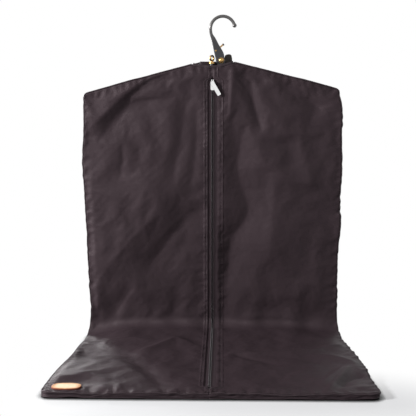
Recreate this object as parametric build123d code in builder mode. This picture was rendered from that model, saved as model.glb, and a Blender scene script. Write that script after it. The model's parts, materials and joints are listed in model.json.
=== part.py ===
"""A nylon garment bag on its hanger: the upper part hangs, the lower part lies forward on the floor.

Frame: +X to the bag's left as it faces the reader's right, +Y to the back, +Z up, in millimetres.
The origin is the middle of the footprint on the floor.
"""

import os
from math import atan2, cos, hypot, radians, sin, tan

from build123d import *

os.makedirs("parts", exist_ok=True)

# ---------------------------------------------------------------- driving dimensions
# Bag
bag_width = 600.0
floor_reach = 420.0  # hanging front face to the bottom hem
bag_depth = 20.0  # gusset width where the bag hangs
hem_depth = 12.0  # gusset width at the bottom hem
fold_depth = 24.0  # height of the lying part where it meets the fold
front_fold_radius = 25.0
back_fold_radius = 16.0
hem_corner_radius = 16.0
neck_height = 641.0
neck_left = -27.0
neck_mouth = -43.0  # left end of the opening, where the front parts from the back
neck_right = 49.0
neck_dip = 10.5  # how far the front of the neck drops below the back
left_fall = 72.0  # neck to the left shoulder tip
right_fall = 62.0  # neck to the right shoulder tip
shoulder_corner_radius = 7.0
cloth = 1.0  # outer nylon with its lining
piping = 3.5
gusset_inset = 0.8  # gusset cloth below the crest of the piping
fold_run = 1.2  # length of a fold's solid for each millimetre of fold
fold_root = 3.0  # how deep a fold's solid is rooted in the cloth's place
binding = 2.4

# Main folds of the cloth: the two ends, the height out of the cloth (inwards below nought), the width, and
# how far before the cloth's plane the height and width are taken
front_hanging_folds = (
    ((-150.0, 560.0), (-150.0, 70.0), 8.0, 236.0, 0.0),
    ((-150.0, 352.0), (-256.0, 168.0), 11.0, 102.0, 0.0),
    ((-148.0, 548.0), (-240.0, 452.0), 6.0, 62.0, 0.0),
    ((150.0, 560.0), (150.0, 70.0), 8.0, 224.0, 0.0),
    ((104.0, 450.0), (146.0, 200.0), 11.0, 92.0, 0.0),
    ((-196.0, 556.0), (-274.0, 478.0), -2.4, 34.0, 0.0),
    ((-54.0, 590.0), (-92.0, 345.0), -3.9, 48.0, 1.5),
    ((-30.0, 318.0), (-178.0, 120.0), -8.0, 64.0, 5.6),
    ((-282.0, 84.0), (-32.0, 82.0), -2.4, 26.0, 0.0),
    ((66.0, 590.0), (84.0, 225.0), -5.6, 60.0, 3.2),
    ((62.0, 270.0), (38.0, 100.0), -2.4, 34.0, 0.0),
    ((176.0, 480.0), (184.0, 383.0), -4.0, 46.0, 5.6),
    ((213.0, 563.0), (268.0, 524.0), -2.4, 26.0, 0.0),
    ((32.0, 76.0), (282.0, 66.0), -2.4, 26.0, 0.0),
)
front_lying_folds = (
    ((-274.0, 82.0), (-58.0, 94.0), 4.0, 46.0, 0.0),
    ((-272.0, -132.0), (-128.0, -72.0), 3.5, 44.0, 0.0),
    ((62.0, 8.0), (192.0, -84.0), 4.0, 46.0, 0.0),
    ((196.0, -14.0), (286.0, 48.0), 4.0, 40.0, 0.0),
    ((208.0, -192.0), (256.0, -98.0), 3.5, 36.0, 0.0),
    ((-284.0, 42.0), (-176.0, 34.0), -3.5, 44.0, 0.0),
)

# Zip
zip_x = 2.0
neck_seam = 41.0  # neck to the top of the zip opening
zip_hem_gap = 24.0  # bottom end of the zip to the hem
zip_opening = 22.8
tape_width = 14.2
tape = 0.8
coil_width = 2.1
coil_height = 2.2
coil_slit = 1.6  # room between the two rows, where the slider's post runs
tape_lap = 5.0  # tape hidden past each end of the opening
stop_length = 3.2
stop_rise = 0.5  # stops standing proud of the coil

# Slider and pull
slider_drop = 14.4  # top of the zip opening to the slider's middle
slider_length = 20.5
slider_width = 8.6
slider_plate = 1.2
running_gap = 0.3
post_length = 3.0
post_inset = 2.5  # slider's top end to the post
pull_pin_radius = 0.6
pull_pin_drop = 1.0  # slider's top end to the pull pin
lug = 0.9
barrel_radius = 1.25
barrel_width = 2.9
link_drop = 3.6  # pull pin to rivet
link_plate = 1.0
link_step = 0.25  # link plate proud of the lugs
link_eye_radius = 1.9
rivet_radius = 1.0
rivet_head_radius = 2.0
rivet_head = 0.7
tab_length = 35.0
tab_width = 8.6
tab_plate = 1.7
tab_corner = 1.8
tab_head = 3.2  # rivet to the tab's upper end
tab_lean = 30.5  # degrees from plumb, foot to the right
fine_gap = 0.06  # pins in their holes

# Leather patch
patch_width = 55.0
patch_length = 30.0
patch_side_gap = 13.0  # bag side to patch
patch_hem_gap = 6.0
patch_thickness = 2.0
patch_corner_radius = 12.0
thread = 0.9
thread_inset = 2.6

# Hanger
hanger_depth = 12.0
hook_x = 22.0
pivot_rise = 2.6  # neck to the hook's pivot
tongue_length = 15.2  # hub's top to the pivot
hub_left_reach = 52.0  # pivot to the hub's left side
hub_right_reach = 30.0
hub_height = 18.4
hub_corner = 3.0
arm_height = 26.0
arm_reach = 158.0  # hub side to arm end
arm_shoulder = 24.0  # hub side to where the arm's top meets the shoulder cloth
arm_web = 4.0
arm_rim = 3.2
tenon_length = 20.0
tenon_height = 8.5
tenon_depth = 6.0
screw_radius = 1.5
screw_head_radius = 2.8
screw_head = 1.6
arm_gap = 0.5  # shoulder cloth to the top of the arm
arm_end_radius = 9.0

# Hook
crown_x = 3.2  # crown centre from the pivot
crown_z = 71.6
crown_radius = 27.9
wire_radius = 3.6
tip_angle = 15.0
tip_radius = 4.9
shank_depth = 11.0
shank_rounding = 1.5
shank_left_high = (-23.4, 48.5)
shank_left_low = (-15.6, 15.0)
shank_right_low = (5.8, 14.8)
shank_right_middle = (-4.8, 34.0)
shank_right_high = (-15.6, 53.5)
foot_left = 12.3  # pivot to the left side of the hook's foot
foot_right = 7.6
foot_drop = 6.0
foot_rounding = 2.5
taper_foot = 30.0  # pivot to where the shank starts to thin
fork_slot = 5.6
slot_height = 40.0  # pivot to the head of the fork's slot
tongue_depth = 5.0
tongue_radius = 9.0
pivot_radius = 2.5
dome_radius = 5.9
dome_height = 4.2
washer = 0.6
washer_radius = 6.3
cap_radius = 4.6
cap_height = 1.6

# Release lever
lever_x = -12.6
lever_z = 21.5
lever_reach = 21.0
lever_rise = 40.0  # degrees above level
lever_width = 3.2
lever_depth = 4.8
lever_pin_radius = 1.1
lever_pin_head_radius = 1.9
lever_pin_head = 0.7
lever_boss_radius = 3.0
lever_toe = 1.8  # lever pin to its toe
toe_gap = 0.5  # toe to the rim of the tongue
lever_cap_radius = 2.5
lever_cap_length = 3.0

# Strap eye
eye_offset = 21.5  # pivot to the eye, to the left
eye_rise = 8.7  # collar to the middle of the ring
eye_radius = 7.4
eye_bore_radius = 4.2
eye_depth = 3.2
eye_turn = 50.0  # degrees the eye is turned from square
stem_radius = 2.2
flange_radius = 7.2
flange_height = 4.0
eye_boss_height = 7.6
eye_boss_radius = 5.2
nut_radius = 4.0
nut_height = 3.5

# Neck tab
tab_offset = 8.0  # pivot to the tab's left side
tab_span = 16.0
tab_rise = 15.5  # neck to the tab's top
tab_drop = 4.5  # right-hand corner of the tab's top below the left
tab_sewn = 13.0  # tab sewn in below the neck
webbing = 1.2

# ---------------------------------------------------------------- places that follow
half_width = bag_width / 2
hem_y = -(floor_reach + bag_depth) / 2
front_y = hem_y + floor_reach
back_y = front_y + bag_depth
hanger_y = (front_y + back_y) / 2
floor_slope = atan2(fold_depth - hem_depth, floor_reach)
zip_end = hem_y + zip_hem_gap
beyond = 60.0  # how far cutting shapes run past the bag
tall = neck_height + beyond
left_shoulder_height = neck_height - left_fall
right_shoulder_height = neck_height - right_fall
left_slope = left_fall / (half_width + neck_left)  # fall of the left shoulder for each millimetre outwards
zip_top = neck_height - neck_seam
slider_middle = zip_top - slider_drop
pivot_height = neck_height + pivot_rise
hub_top = pivot_height - tongue_length
hub_foot = hub_top - hub_height
hub_left = hook_x - hub_left_reach
hub_right = hook_x + hub_right_reach
eye_x = hook_x - eye_offset
flange_foot = hub_top + eye_boss_height
collar_top = flange_foot + flange_height
eye_middle = collar_top + eye_rise
tab_left = hook_x + tab_offset
tab_top = neck_height + tab_rise
tab_foot = neck_height - tab_sewn


# ---------------------------------------------------------------- shapes shared by the cloth pieces
def write(piece, name):
    """Labels a finished piece and writes its STEP file."""
    piece.part.label = name
    export_step(piece.part, f"parts/{name}.step")


def front_corner(depth):
    """Where the hanging and the lying front planes meet, both moved in by depth."""
    y = front_y + depth
    z = hem_depth + (y - hem_y) * tan(floor_slope) - depth / cos(floor_slope)
    return y, z


def front_height(y, depth=0.0):
    """Height of the lying front plane at y, moved in by depth."""
    return hem_depth + (y - hem_y) * tan(floor_slope) - depth / cos(floor_slope)


def behind_front(depth):
    """Sketch, in the side view, of everything behind the front face moved in by depth."""
    far_y = hem_y - beyond
    corner = front_corner(depth)
    with BuildSketch() as side:
        with BuildLine():
            Polyline(
                (front_y + depth, tall),
                corner,
                (far_y, front_height(far_y, depth)),
                (far_y, -beyond),
                (back_y + beyond, -beyond),
                (back_y + beyond, tall),
                close=True,
            )
        make_face()
        fillet(side.vertices().sort_by_distance(corner)[0], front_fold_radius + depth)
    return side.sketch


def before_back(depth):
    """Sketch, in the side view, of everything before the back face moved in by depth."""
    far_y = hem_y - beyond
    corner = (back_y - depth, depth)
    with BuildSketch() as side:
        with BuildLine():
            Polyline(
                (back_y - depth, tall),
                corner,
                (far_y, depth),
                (far_y, tall),
                close=True,
            )
        make_face()
        fillet(side.vertices().sort_by_distance(corner)[0], back_fold_radius - depth)
    return side.sketch


def layer(outside, inside):
    """Sheet between two side-view sketches, across the whole width of the bag."""
    with BuildPart() as sheet:
        with BuildSketch(Plane.YZ):
            add(outside)
            add(inside, mode=Mode.SUBTRACT)
        extrude(amount=bag_width, both=True)
    return sheet.part


def front_layer(near, far):
    """Sheet between two depths behind the front face."""
    return layer(behind_front(near), behind_front(far))


def back_layer(near, far):
    """Sheet between two depths before the back face."""
    return layer(before_back(near), before_back(far))


def placed(folds, place, out):
    """Folds with their ends brought on to the cloth by place(u, v), and with the way that the cloth faces."""
    return [
        (Vector(*place(*start)) + out * lift, Vector(*place(*end)) + out * lift, out, height, width)
        for start, end, height, width, lift in folds
    ]


def on_hanging_front(x, z):
    """Point of the hanging front."""
    return x, front_y, z


def on_lying_front(x, y):
    """Point of the lying front."""
    return x, y, front_height(y)


def fold_solid(start, end, out, height, width, grow):
    """Solid of revolution that meets the cloth in a long lens and stands as high as the fold.

    Its axis is parallel to the fold, behind the cloth for a ridge and before it for a hollow. With grow,
    the radius keeps the cloth as thick on the fold as beside it.
    """
    rise = abs(height)
    radius = (width**2 / 4 + rise**2) / (2 * rise)
    along = end - start
    reach = along.length * fold_run / 2
    crest = out * (1 if height > 0 else -1)
    middle = (start + end) / 2
    axis_point = middle - crest * (radius - rise)
    middle_radius = radius + grow
    end_radius = middle_radius - rise * fold_run**2
    with BuildPart() as made:
        with BuildSketch(Plane(axis_point, x_dir=along, z_dir=along.cross(crest))):
            with BuildLine():
                ThreePointArc((-reach, end_radius), (0, middle_radius), (reach, end_radius))
                Polyline((reach, end_radius), (reach, 0), (-reach, 0), (-reach, end_radius))
            make_face()
        revolve(axis=Axis(axis_point, along))
        with Locations(Plane(middle, x_dir=along, z_dir=crest)):
            Box(2 * reach, 2 * width, 2 * (rise + fold_root), mode=Mode.INTERSECT)
    return made.part


def folded(side_view, depth, folds):
    """Everything in a side view, across the bag, with the ridges added and then the hollows cut out."""
    with BuildPart() as made:
        with BuildSketch(Plane.YZ):
            add(side_view)
        extrude(amount=bag_width, both=True)
        for fold in folds:
            if fold[3] > 0:
                add(fold_solid(*fold, -depth))
        for fold in folds:
            if fold[3] < 0:
                add(fold_solid(*fold, depth), mode=Mode.SUBTRACT)
    return made.part


def column(inset, dip=0.0):
    """Solid that holds the bag's front outline and its plan, both drawn in by inset."""
    neck_start = (neck_mouth, neck_height - left_slope * (neck_left - neck_mouth))
    neck_middle = ((neck_mouth + neck_right) / 2, neck_height - dip)
    with BuildPart() as made:
        with BuildSketch(Plane.XZ) as outline:
            with BuildLine():
                Polyline(
                    (neck_right, neck_height),
                    (half_width, right_shoulder_height),
                    (half_width, -beyond),
                    (-half_width, -beyond),
                    (-half_width, left_shoulder_height),
                    neck_start if dip else (neck_left, neck_height),
                )
                if dip:
                    ThreePointArc(neck_start, neck_middle, (neck_right, neck_height))
                else:
                    Line((neck_left, neck_height), (neck_right, neck_height))
            make_face()
            tips = (
                outline.vertices().sort_by_distance((-half_width, left_shoulder_height))[0],
                outline.vertices().sort_by_distance((half_width, right_shoulder_height))[0],
            )
            fillet(tips, shoulder_corner_radius)
            if inset:
                offset(amount=-inset, kind=Kind.INTERSECTION, mode=Mode.REPLACE)
        extrude(amount=bag_width, both=True)
        with BuildSketch(Plane.XY.offset(-beyond)) as plan:
            with Locations((0, (hem_y + back_y + beyond) / 2)):
                Rectangle(bag_width, back_y + beyond - hem_y)
            fillet(plan.vertices().group_by(Axis.Y)[0], hem_corner_radius)
            if inset:
                offset(amount=-inset, kind=Kind.INTERSECTION, mode=Mode.REPLACE)
        extrude(amount=tall + 2 * beyond, mode=Mode.INTERSECT)
    return made.part


def span(low, high):
    """Plain block between two corners, for cutting."""
    with BuildPart() as block:
        with Locations(tuple((a + b) / 2 for a, b in zip(low, high))):
            Box(*(b - a for a, b in zip(low, high)))
    return block.part


lying_out = Vector(0, -sin(floor_slope), cos(floor_slope))
front_folds = placed(front_hanging_folds, on_hanging_front, Vector(0, -1, 0))
front_folds += placed(front_lying_folds, on_lying_front, lying_out)
front_skin = folded(behind_front(0), 0, front_folds) - folded(behind_front(cloth), cloth, front_folds)
back_skin = back_layer(0, cloth)
front_rim = front_layer(0, piping)
back_rim = back_layer(0, piping)
outer_column = column(0)
outer_front_column = column(0, neck_dip)
inner_column = column(piping)
inner_front_column = column(piping, neck_dip)
neck_block = span((neck_left, hem_y, hub_foot), (neck_right, back_y, tall))
mouth_block = span((neck_mouth, hem_y, hub_foot), (neck_right, back_y, tall))
left_half = span((-bag_width, hem_y - beyond, -beyond), (zip_x, back_y + beyond, tall))
right_half = span((zip_x, hem_y - beyond, -beyond), (bag_width, back_y + beyond, tall))
zip_block = span(
    (zip_x - zip_opening / 2, zip_end, -beyond),
    (zip_x + zip_opening / 2, hanger_y, zip_top),
)

# ---------------------------------------------------------------- bag: panels
with BuildPart() as back_panel:
    add(back_skin)
    add(inner_column, mode=Mode.INTERSECT)
write(back_panel, "back_panel")

with BuildPart() as front_panel_left:
    add(front_skin)
    add(inner_front_column, mode=Mode.INTERSECT)
    add(left_half, mode=Mode.INTERSECT)
    add(zip_block, mode=Mode.SUBTRACT)
write(front_panel_left, "front_panel_left")

with BuildPart() as front_panel_right:
    add(front_skin)
    add(inner_front_column, mode=Mode.INTERSECT)
    add(right_half, mode=Mode.INTERSECT)
    add(zip_block, mode=Mode.SUBTRACT)
write(front_panel_right, "front_panel_right")

# ---------------------------------------------------------------- bag: piping round both faces
for name, rim, outside, inside, half, mouth in (
    ("front_piping_left", front_rim, outer_front_column, inner_front_column, left_half, mouth_block),
    ("front_piping_right", front_rim, outer_front_column, inner_front_column, right_half, mouth_block),
    ("back_piping_left", back_rim, outer_column, inner_column, left_half, neck_block),
    ("back_piping_right", back_rim, outer_column, inner_column, right_half, neck_block),
):
    with BuildPart() as cord:
        add(rim)
        add(outside, mode=Mode.INTERSECT)
        add(inside, mode=Mode.SUBTRACT)
        add(half, mode=Mode.INTERSECT)
        add(mouth, mode=Mode.SUBTRACT)
    write(cord, name)

# ---------------------------------------------------------------- bag: gusset, in five strips
with BuildPart() as gusset_ring:
    with BuildSketch(Plane.YZ):
        add(behind_front(piping))
        add(before_back(piping), mode=Mode.INTERSECT)
    extrude(amount=bag_width, both=True)
    add(column(gusset_inset), mode=Mode.INTERSECT)
    add(column(gusset_inset + cloth), mode=Mode.SUBTRACT)
    add(mouth_block, mode=Mode.SUBTRACT)

hem_line = hem_y + hem_corner_radius
left_tip = left_shoulder_height - shoulder_corner_radius
right_tip = right_shoulder_height - shoulder_corner_radius
for name, low, high in (
    ("shoulder_gusset_left", (-bag_width, front_y, left_tip), (hook_x, back_y, tall)),
    ("shoulder_gusset_right", (hook_x, front_y, right_tip), (bag_width, back_y, tall)),
    ("side_gusset_left", (-bag_width, hem_line, 0), (hook_x, back_y, left_tip)),
    ("side_gusset_right", (hook_x, hem_line, 0), (bag_width, back_y, right_tip)),
    ("bottom_gusset", (-bag_width, hem_y, 0), (bag_width, hem_line, tall)),
):
    with BuildPart() as strip:
        add(gusset_ring.part)
        add(span(low, high), mode=Mode.INTERSECT)
    write(strip, name)

# ---------------------------------------------------------------- bag: neck
with BuildPart() as neck_binding_front:
    add(front_layer(0, binding))
    add(outer_front_column, mode=Mode.INTERSECT)
    add(inner_front_column, mode=Mode.SUBTRACT)
    add(mouth_block, mode=Mode.INTERSECT)
write(neck_binding_front, "neck_binding_front")

with BuildPart() as neck_binding_back:
    add(back_layer(0, binding))
    add(outer_column, mode=Mode.INTERSECT)
    add(inner_column, mode=Mode.SUBTRACT)
    add(neck_block, mode=Mode.INTERSECT)
write(neck_binding_back, "neck_binding_back")

with BuildPart() as neck_tab:
    with BuildSketch(Plane.XZ.offset(-(back_y - binding))):
        with BuildLine():
            Polyline(
                (tab_left, tab_foot),
                (tab_left + tab_span, tab_foot),
                (tab_left + tab_span, tab_top - tab_drop),
                (tab_left, tab_top),
                close=True,
            )
        make_face()
    extrude(amount=webbing)
write(neck_tab, "neck_tab")

# ---------------------------------------------------------------- bag: zip
coil_front = cloth - coil_height  # depth of the coil's front face, proud of the cloth
for name, side in (("left", -1), ("right", 1)):
    near = zip_x + side * coil_slit / 2
    tape_edge = zip_x + side * tape_width
    coil_edge = near + side * coil_width
    with BuildPart() as zip_tape:
        add(front_layer(cloth, cloth + tape))
        add(
            span(
                (min(near, tape_edge), zip_end - tape_lap, 0),
                (max(near, tape_edge), hanger_y, zip_top + tape_lap),
            ),
            mode=Mode.INTERSECT,
        )
    write(zip_tape, f"zip_tape_{name}")

    coil_top = slider_middle + slider_length / 2
    with BuildPart() as zip_coil:
        add(front_layer(coil_front, cloth))
        add(
            span(
                (min(near, coil_edge), zip_end + stop_length, 0),
                (max(near, coil_edge), hanger_y, coil_top),
            ),
            mode=Mode.INTERSECT,
        )
    write(zip_coil, f"zip_coil_{name}")

    with BuildPart() as top_stop:
        add(front_layer(coil_front - stop_rise, cloth))
        add(
            span(
                (min(near, coil_edge), hem_y, coil_top + running_gap),
                (max(near, coil_edge), hanger_y, coil_top + running_gap + stop_length),
            ),
            mode=Mode.INTERSECT,
        )
    write(top_stop, f"zip_top_stop_{name}")

with BuildPart() as bottom_stop:
    reach = coil_slit / 2 + coil_width
    add(front_layer(coil_front - stop_rise, cloth))
    add(
        span(
            (zip_x - reach, zip_end, 0),
            (zip_x + reach, zip_end + stop_length, fold_depth + beyond),
        ),
        mode=Mode.INTERSECT,
    )
write(bottom_stop, "zip_bottom_stop")

# ---------------------------------------------------------------- zip: slider and pull
slider_x = coil_slit / 2 + coil_width + running_gap  # inner face of the slider's flanges
plate_back = front_y + coil_front - running_gap
plate_front = plate_back - slider_plate
keeper_front = front_y + cloth + tape + running_gap
pin_y = plate_front - barrel_radius - running_gap
pin_z = slider_middle + slider_length / 2 - pull_pin_drop
lug_x = barrel_width / 2 + running_gap / 2
post_width = coil_slit - 2 * running_gap

with BuildPart() as zip_slider:
    with BuildSketch(Plane.XZ.offset(-plate_back)):
        with Locations((zip_x, slider_middle)):
            RectangleRounded(slider_width, slider_length, slider_width / 3)
    extrude(amount=slider_plate)
    with BuildSketch(Plane.XZ.offset(-keeper_front)):
        with Locations((zip_x, slider_middle)):
            RectangleRounded(slider_width, slider_length, slider_width / 3)
    extrude(amount=-slider_plate)
    flange_length = slider_length - slider_width
    flange_back = front_y + cloth - running_gap
    for side in (-1, 1):
        inner = zip_x + side * slider_x
        outer = zip_x + side * slider_width / 2
        add(
            span(
                (min(inner, outer), plate_back, slider_middle - flange_length / 2),
                (max(inner, outer), flange_back, slider_middle + flange_length / 2),
            )
        )
        lug_near = zip_x + side * lug_x
        lug_far = zip_x + side * (lug_x + lug)
        add(
            span(
                (min(lug_near, lug_far), pin_y, pin_z - barrel_radius),
                (max(lug_near, lug_far), plate_front, pin_z + barrel_radius),
            )
        )
        with Locations(Plane(((lug_near + lug_far) / 2, pin_y, pin_z), z_dir=(1, 0, 0))):
            Cylinder(barrel_radius, lug)
    post_top = slider_middle + slider_length / 2 - post_inset
    add(
        span(
            (zip_x - post_width / 2, plate_back, post_top - post_length),
            (zip_x + post_width / 2, keeper_front, post_top),
        )
    )
    with Locations(Plane((zip_x, pin_y, pin_z), z_dir=(1, 0, 0))):
        Cylinder(pull_pin_radius, slider_width, mode=Mode.SUBTRACT)
write(zip_slider, "zip_slider")

with BuildPart() as pull_pin:
    with Locations(Plane((zip_x, pin_y, pin_z), z_dir=(1, 0, 0))):
        Cylinder(pull_pin_radius, 2 * (lug_x + lug))
write(pull_pin, "pull_pin")

rivet_z = pin_z - link_drop
link_front = pin_y - barrel_radius - link_step
link_back = link_front + link_plate
with BuildPart() as pull_link:
    with Locations(Plane((zip_x, pin_y, pin_z), z_dir=(1, 0, 0))):
        Cylinder(barrel_radius, barrel_width)
    with BuildSketch(Plane.XZ.offset(-link_back)):
        with Locations((zip_x, pin_z - link_drop / 2)):
            Rectangle(barrel_width, link_drop)
        with Locations((zip_x, rivet_z)):
            Circle(link_eye_radius)
    extrude(amount=link_plate)
    with Locations(Plane((zip_x, pin_y, pin_z), z_dir=(1, 0, 0))):
        Cylinder(pull_pin_radius + fine_gap, 2 * barrel_width, mode=Mode.SUBTRACT)
    with Locations(Plane((zip_x, pin_y, rivet_z), z_dir=(0, 1, 0))):
        Cylinder(rivet_radius, 4 * barrel_radius, mode=Mode.SUBTRACT)
write(pull_link, "pull_link")

tab_back = link_front - fine_gap
tab_front = tab_back - tab_plate
head_back = tab_front - fine_gap
with BuildPart() as pull_rivet:
    with BuildSketch(Plane.XZ.offset(-link_back)):
        with Locations((zip_x, rivet_z)):
            Circle(rivet_radius)
    extrude(amount=link_back - head_back)
    with BuildSketch(Plane.XZ.offset(-head_back)):
        with Locations((zip_x, rivet_z)):
            Circle(rivet_head_radius)
    extrude(amount=rivet_head)
    with BuildSketch(Plane.XZ.offset(-link_back)):
        with Locations((zip_x, rivet_z)):
            Circle(rivet_head_radius)
    extrude(amount=-rivet_head)
write(pull_rivet, "pull_rivet")

with BuildPart() as pull_tab:
    tab_plane = Plane(
        (zip_x, tab_back, rivet_z),
        x_dir=(cos(radians(tab_lean)), 0, sin(radians(tab_lean))),
        z_dir=(0, -1, 0),
    )
    with BuildSketch(tab_plane):
        with Locations((0, tab_head - tab_length / 2)):
            RectangleRounded(tab_width, tab_length, tab_corner)
    extrude(amount=tab_plate)
    with BuildSketch(tab_plane):
        Circle(rivet_radius + fine_gap)
    extrude(amount=tab_plate, mode=Mode.SUBTRACT)
write(pull_tab, "pull_tab")

# ---------------------------------------------------------------- leather patch on the lying front
patch_middle = (
    -half_width + patch_side_gap + patch_width / 2,
    hem_y + patch_hem_gap + patch_length / 2,
)
with BuildPart() as leather_patch:
    with BuildSketch(Plane.XY):
        with Locations(patch_middle):
            RectangleRounded(patch_width, patch_length, patch_corner_radius)
    extrude(amount=fold_depth + beyond)
    add(front_layer(-patch_thickness, 0), mode=Mode.INTERSECT)
write(leather_patch, "leather_patch")

with BuildPart() as patch_thread:
    with BuildSketch(Plane.XY):
        with Locations(patch_middle):
            RectangleRounded(
                patch_width - 2 * thread_inset,
                patch_length - 2 * thread_inset,
                patch_corner_radius - thread_inset,
            )
            RectangleRounded(
                patch_width - 2 * (thread_inset + thread),
                patch_length - 2 * (thread_inset + thread),
                patch_corner_radius - thread_inset - thread,
                mode=Mode.SUBTRACT,
            )
    extrude(amount=fold_depth + beyond)
    add(front_layer(-patch_thickness - thread / 2, -patch_thickness), mode=Mode.INTERSECT)
write(patch_thread, "patch_thread")

# ---------------------------------------------------------------- hanger: hub and arms
mid = Plane.XZ.offset(-hanger_y)  # front view through the middle of the hanger


def at_pivot(x, z):
    """Point of the front view given from the hook's pivot."""
    return (hook_x + x, pivot_height + z)


with BuildPart() as hanger_hub:
    with BuildSketch(mid):
        with Locations(((hub_left + hub_right) / 2, (hub_foot + hub_top) / 2)):
            RectangleRounded(hub_right - hub_left, hub_top - hub_foot, hub_corner)
    extrude(amount=hanger_depth / 2, both=True)
    with BuildSketch(mid):
        with Locations((hook_x, (hub_top + pivot_height) / 2)):
            Rectangle(2 * tongue_radius, pivot_height - hub_top)
        with Locations((hook_x, pivot_height)):
            Circle(tongue_radius)
    extrude(amount=tongue_depth / 2, both=True)
    with BuildSketch(Plane.XY.offset(hub_top)):
        with Locations((eye_x, hanger_y)):
            Circle(eye_boss_radius)
    extrude(amount=flange_foot - hub_top)
    with BuildSketch(mid):
        with Locations((hook_x, pivot_height)):
            Circle(pivot_radius + fine_gap)
    extrude(amount=hanger_depth, both=True, mode=Mode.SUBTRACT)
    with BuildSketch(Plane.XY.offset(hub_foot)):
        with Locations((eye_x, hanger_y)):
            Circle(stem_radius + fine_gap)
    extrude(amount=flange_foot - hub_foot, mode=Mode.SUBTRACT)
    tenon_z = (hub_foot + hub_top) / 2
    for side, edge in ((-1, hub_left), (1, hub_right)):
        with Locations((edge - side * tenon_length / 2, hanger_y, tenon_z)):
            Box(tenon_length, tenon_depth, tenon_height, mode=Mode.SUBTRACT)
        with Locations(Plane((edge - side * tenon_length / 2, hanger_y, tenon_z), z_dir=(0, 1, 0))):
            Cylinder(screw_radius, 2 * hanger_depth, mode=Mode.SUBTRACT)
write(hanger_hub, "hanger_hub")

for name, side, edge, tip in (
    ("left", -1, hub_left, left_shoulder_height),
    ("right", 1, hub_right, right_shoulder_height),
):
    neck_side = neck_left if side < 0 else neck_right
    slope = (neck_height - tip) / (half_width - abs(neck_side))
    drop = (gusset_inset + cloth + arm_gap) * hypot(1, slope)
    end = edge + side * arm_reach

    def shoulder(x):
        """Height of the arm's top edge under the shoulder cloth."""
        return neck_height - drop - slope * abs(x - neck_side)

    corners = (
        (edge, hub_foot),
        (edge, min(hub_top, shoulder(edge))),
        (edge + side * arm_shoulder, shoulder(edge + side * arm_shoulder)),
        (end, shoulder(end)),
        (end, shoulder(end) - arm_height),
        (edge + side * arm_shoulder, shoulder(edge + side * arm_shoulder) - arm_height),
    )
    with BuildPart() as arm:
        with BuildSketch(mid) as outline:
            with BuildLine():
                Polyline(*corners, close=True)
            make_face()
            fillet(outline.vertices().filter_by(lambda v: abs(v.X - end) < 1), arm_end_radius)
        extrude(amount=hanger_depth / 2, both=True)
        with BuildSketch(mid):
            add(outline.sketch)
            offset(amount=-arm_rim, kind=Kind.INTERSECTION, mode=Mode.REPLACE)
        extrude(amount=hanger_depth, both=True, mode=Mode.SUBTRACT)
        with BuildSketch(mid):
            add(outline.sketch)
        extrude(amount=arm_web / 2, both=True)
        with Locations((edge - side * tenon_length / 2, hanger_y, tenon_z)):
            Box(tenon_length, tenon_depth, tenon_height)
        with Locations(Plane((edge - side * tenon_length / 2, hanger_y, tenon_z), z_dir=(0, 1, 0))):
            Cylinder(screw_radius, 2 * hanger_depth, mode=Mode.SUBTRACT)
    write(arm, f"hanger_arm_{name}")

with BuildPart() as arm_screws:
    for side, edge in ((-1, hub_left), (1, hub_right)):
        x = edge - side * tenon_length / 2
        with Locations(Plane((x, hanger_y, tenon_z), z_dir=(0, 1, 0))):
            Cylinder(screw_radius, hanger_depth)
        with Locations(Plane((x, hanger_y - hanger_depth / 2 - screw_head / 2, tenon_z), z_dir=(0, 1, 0))):
            Cylinder(screw_head_radius, screw_head)
write(arm_screws, "arm_screws")

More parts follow.
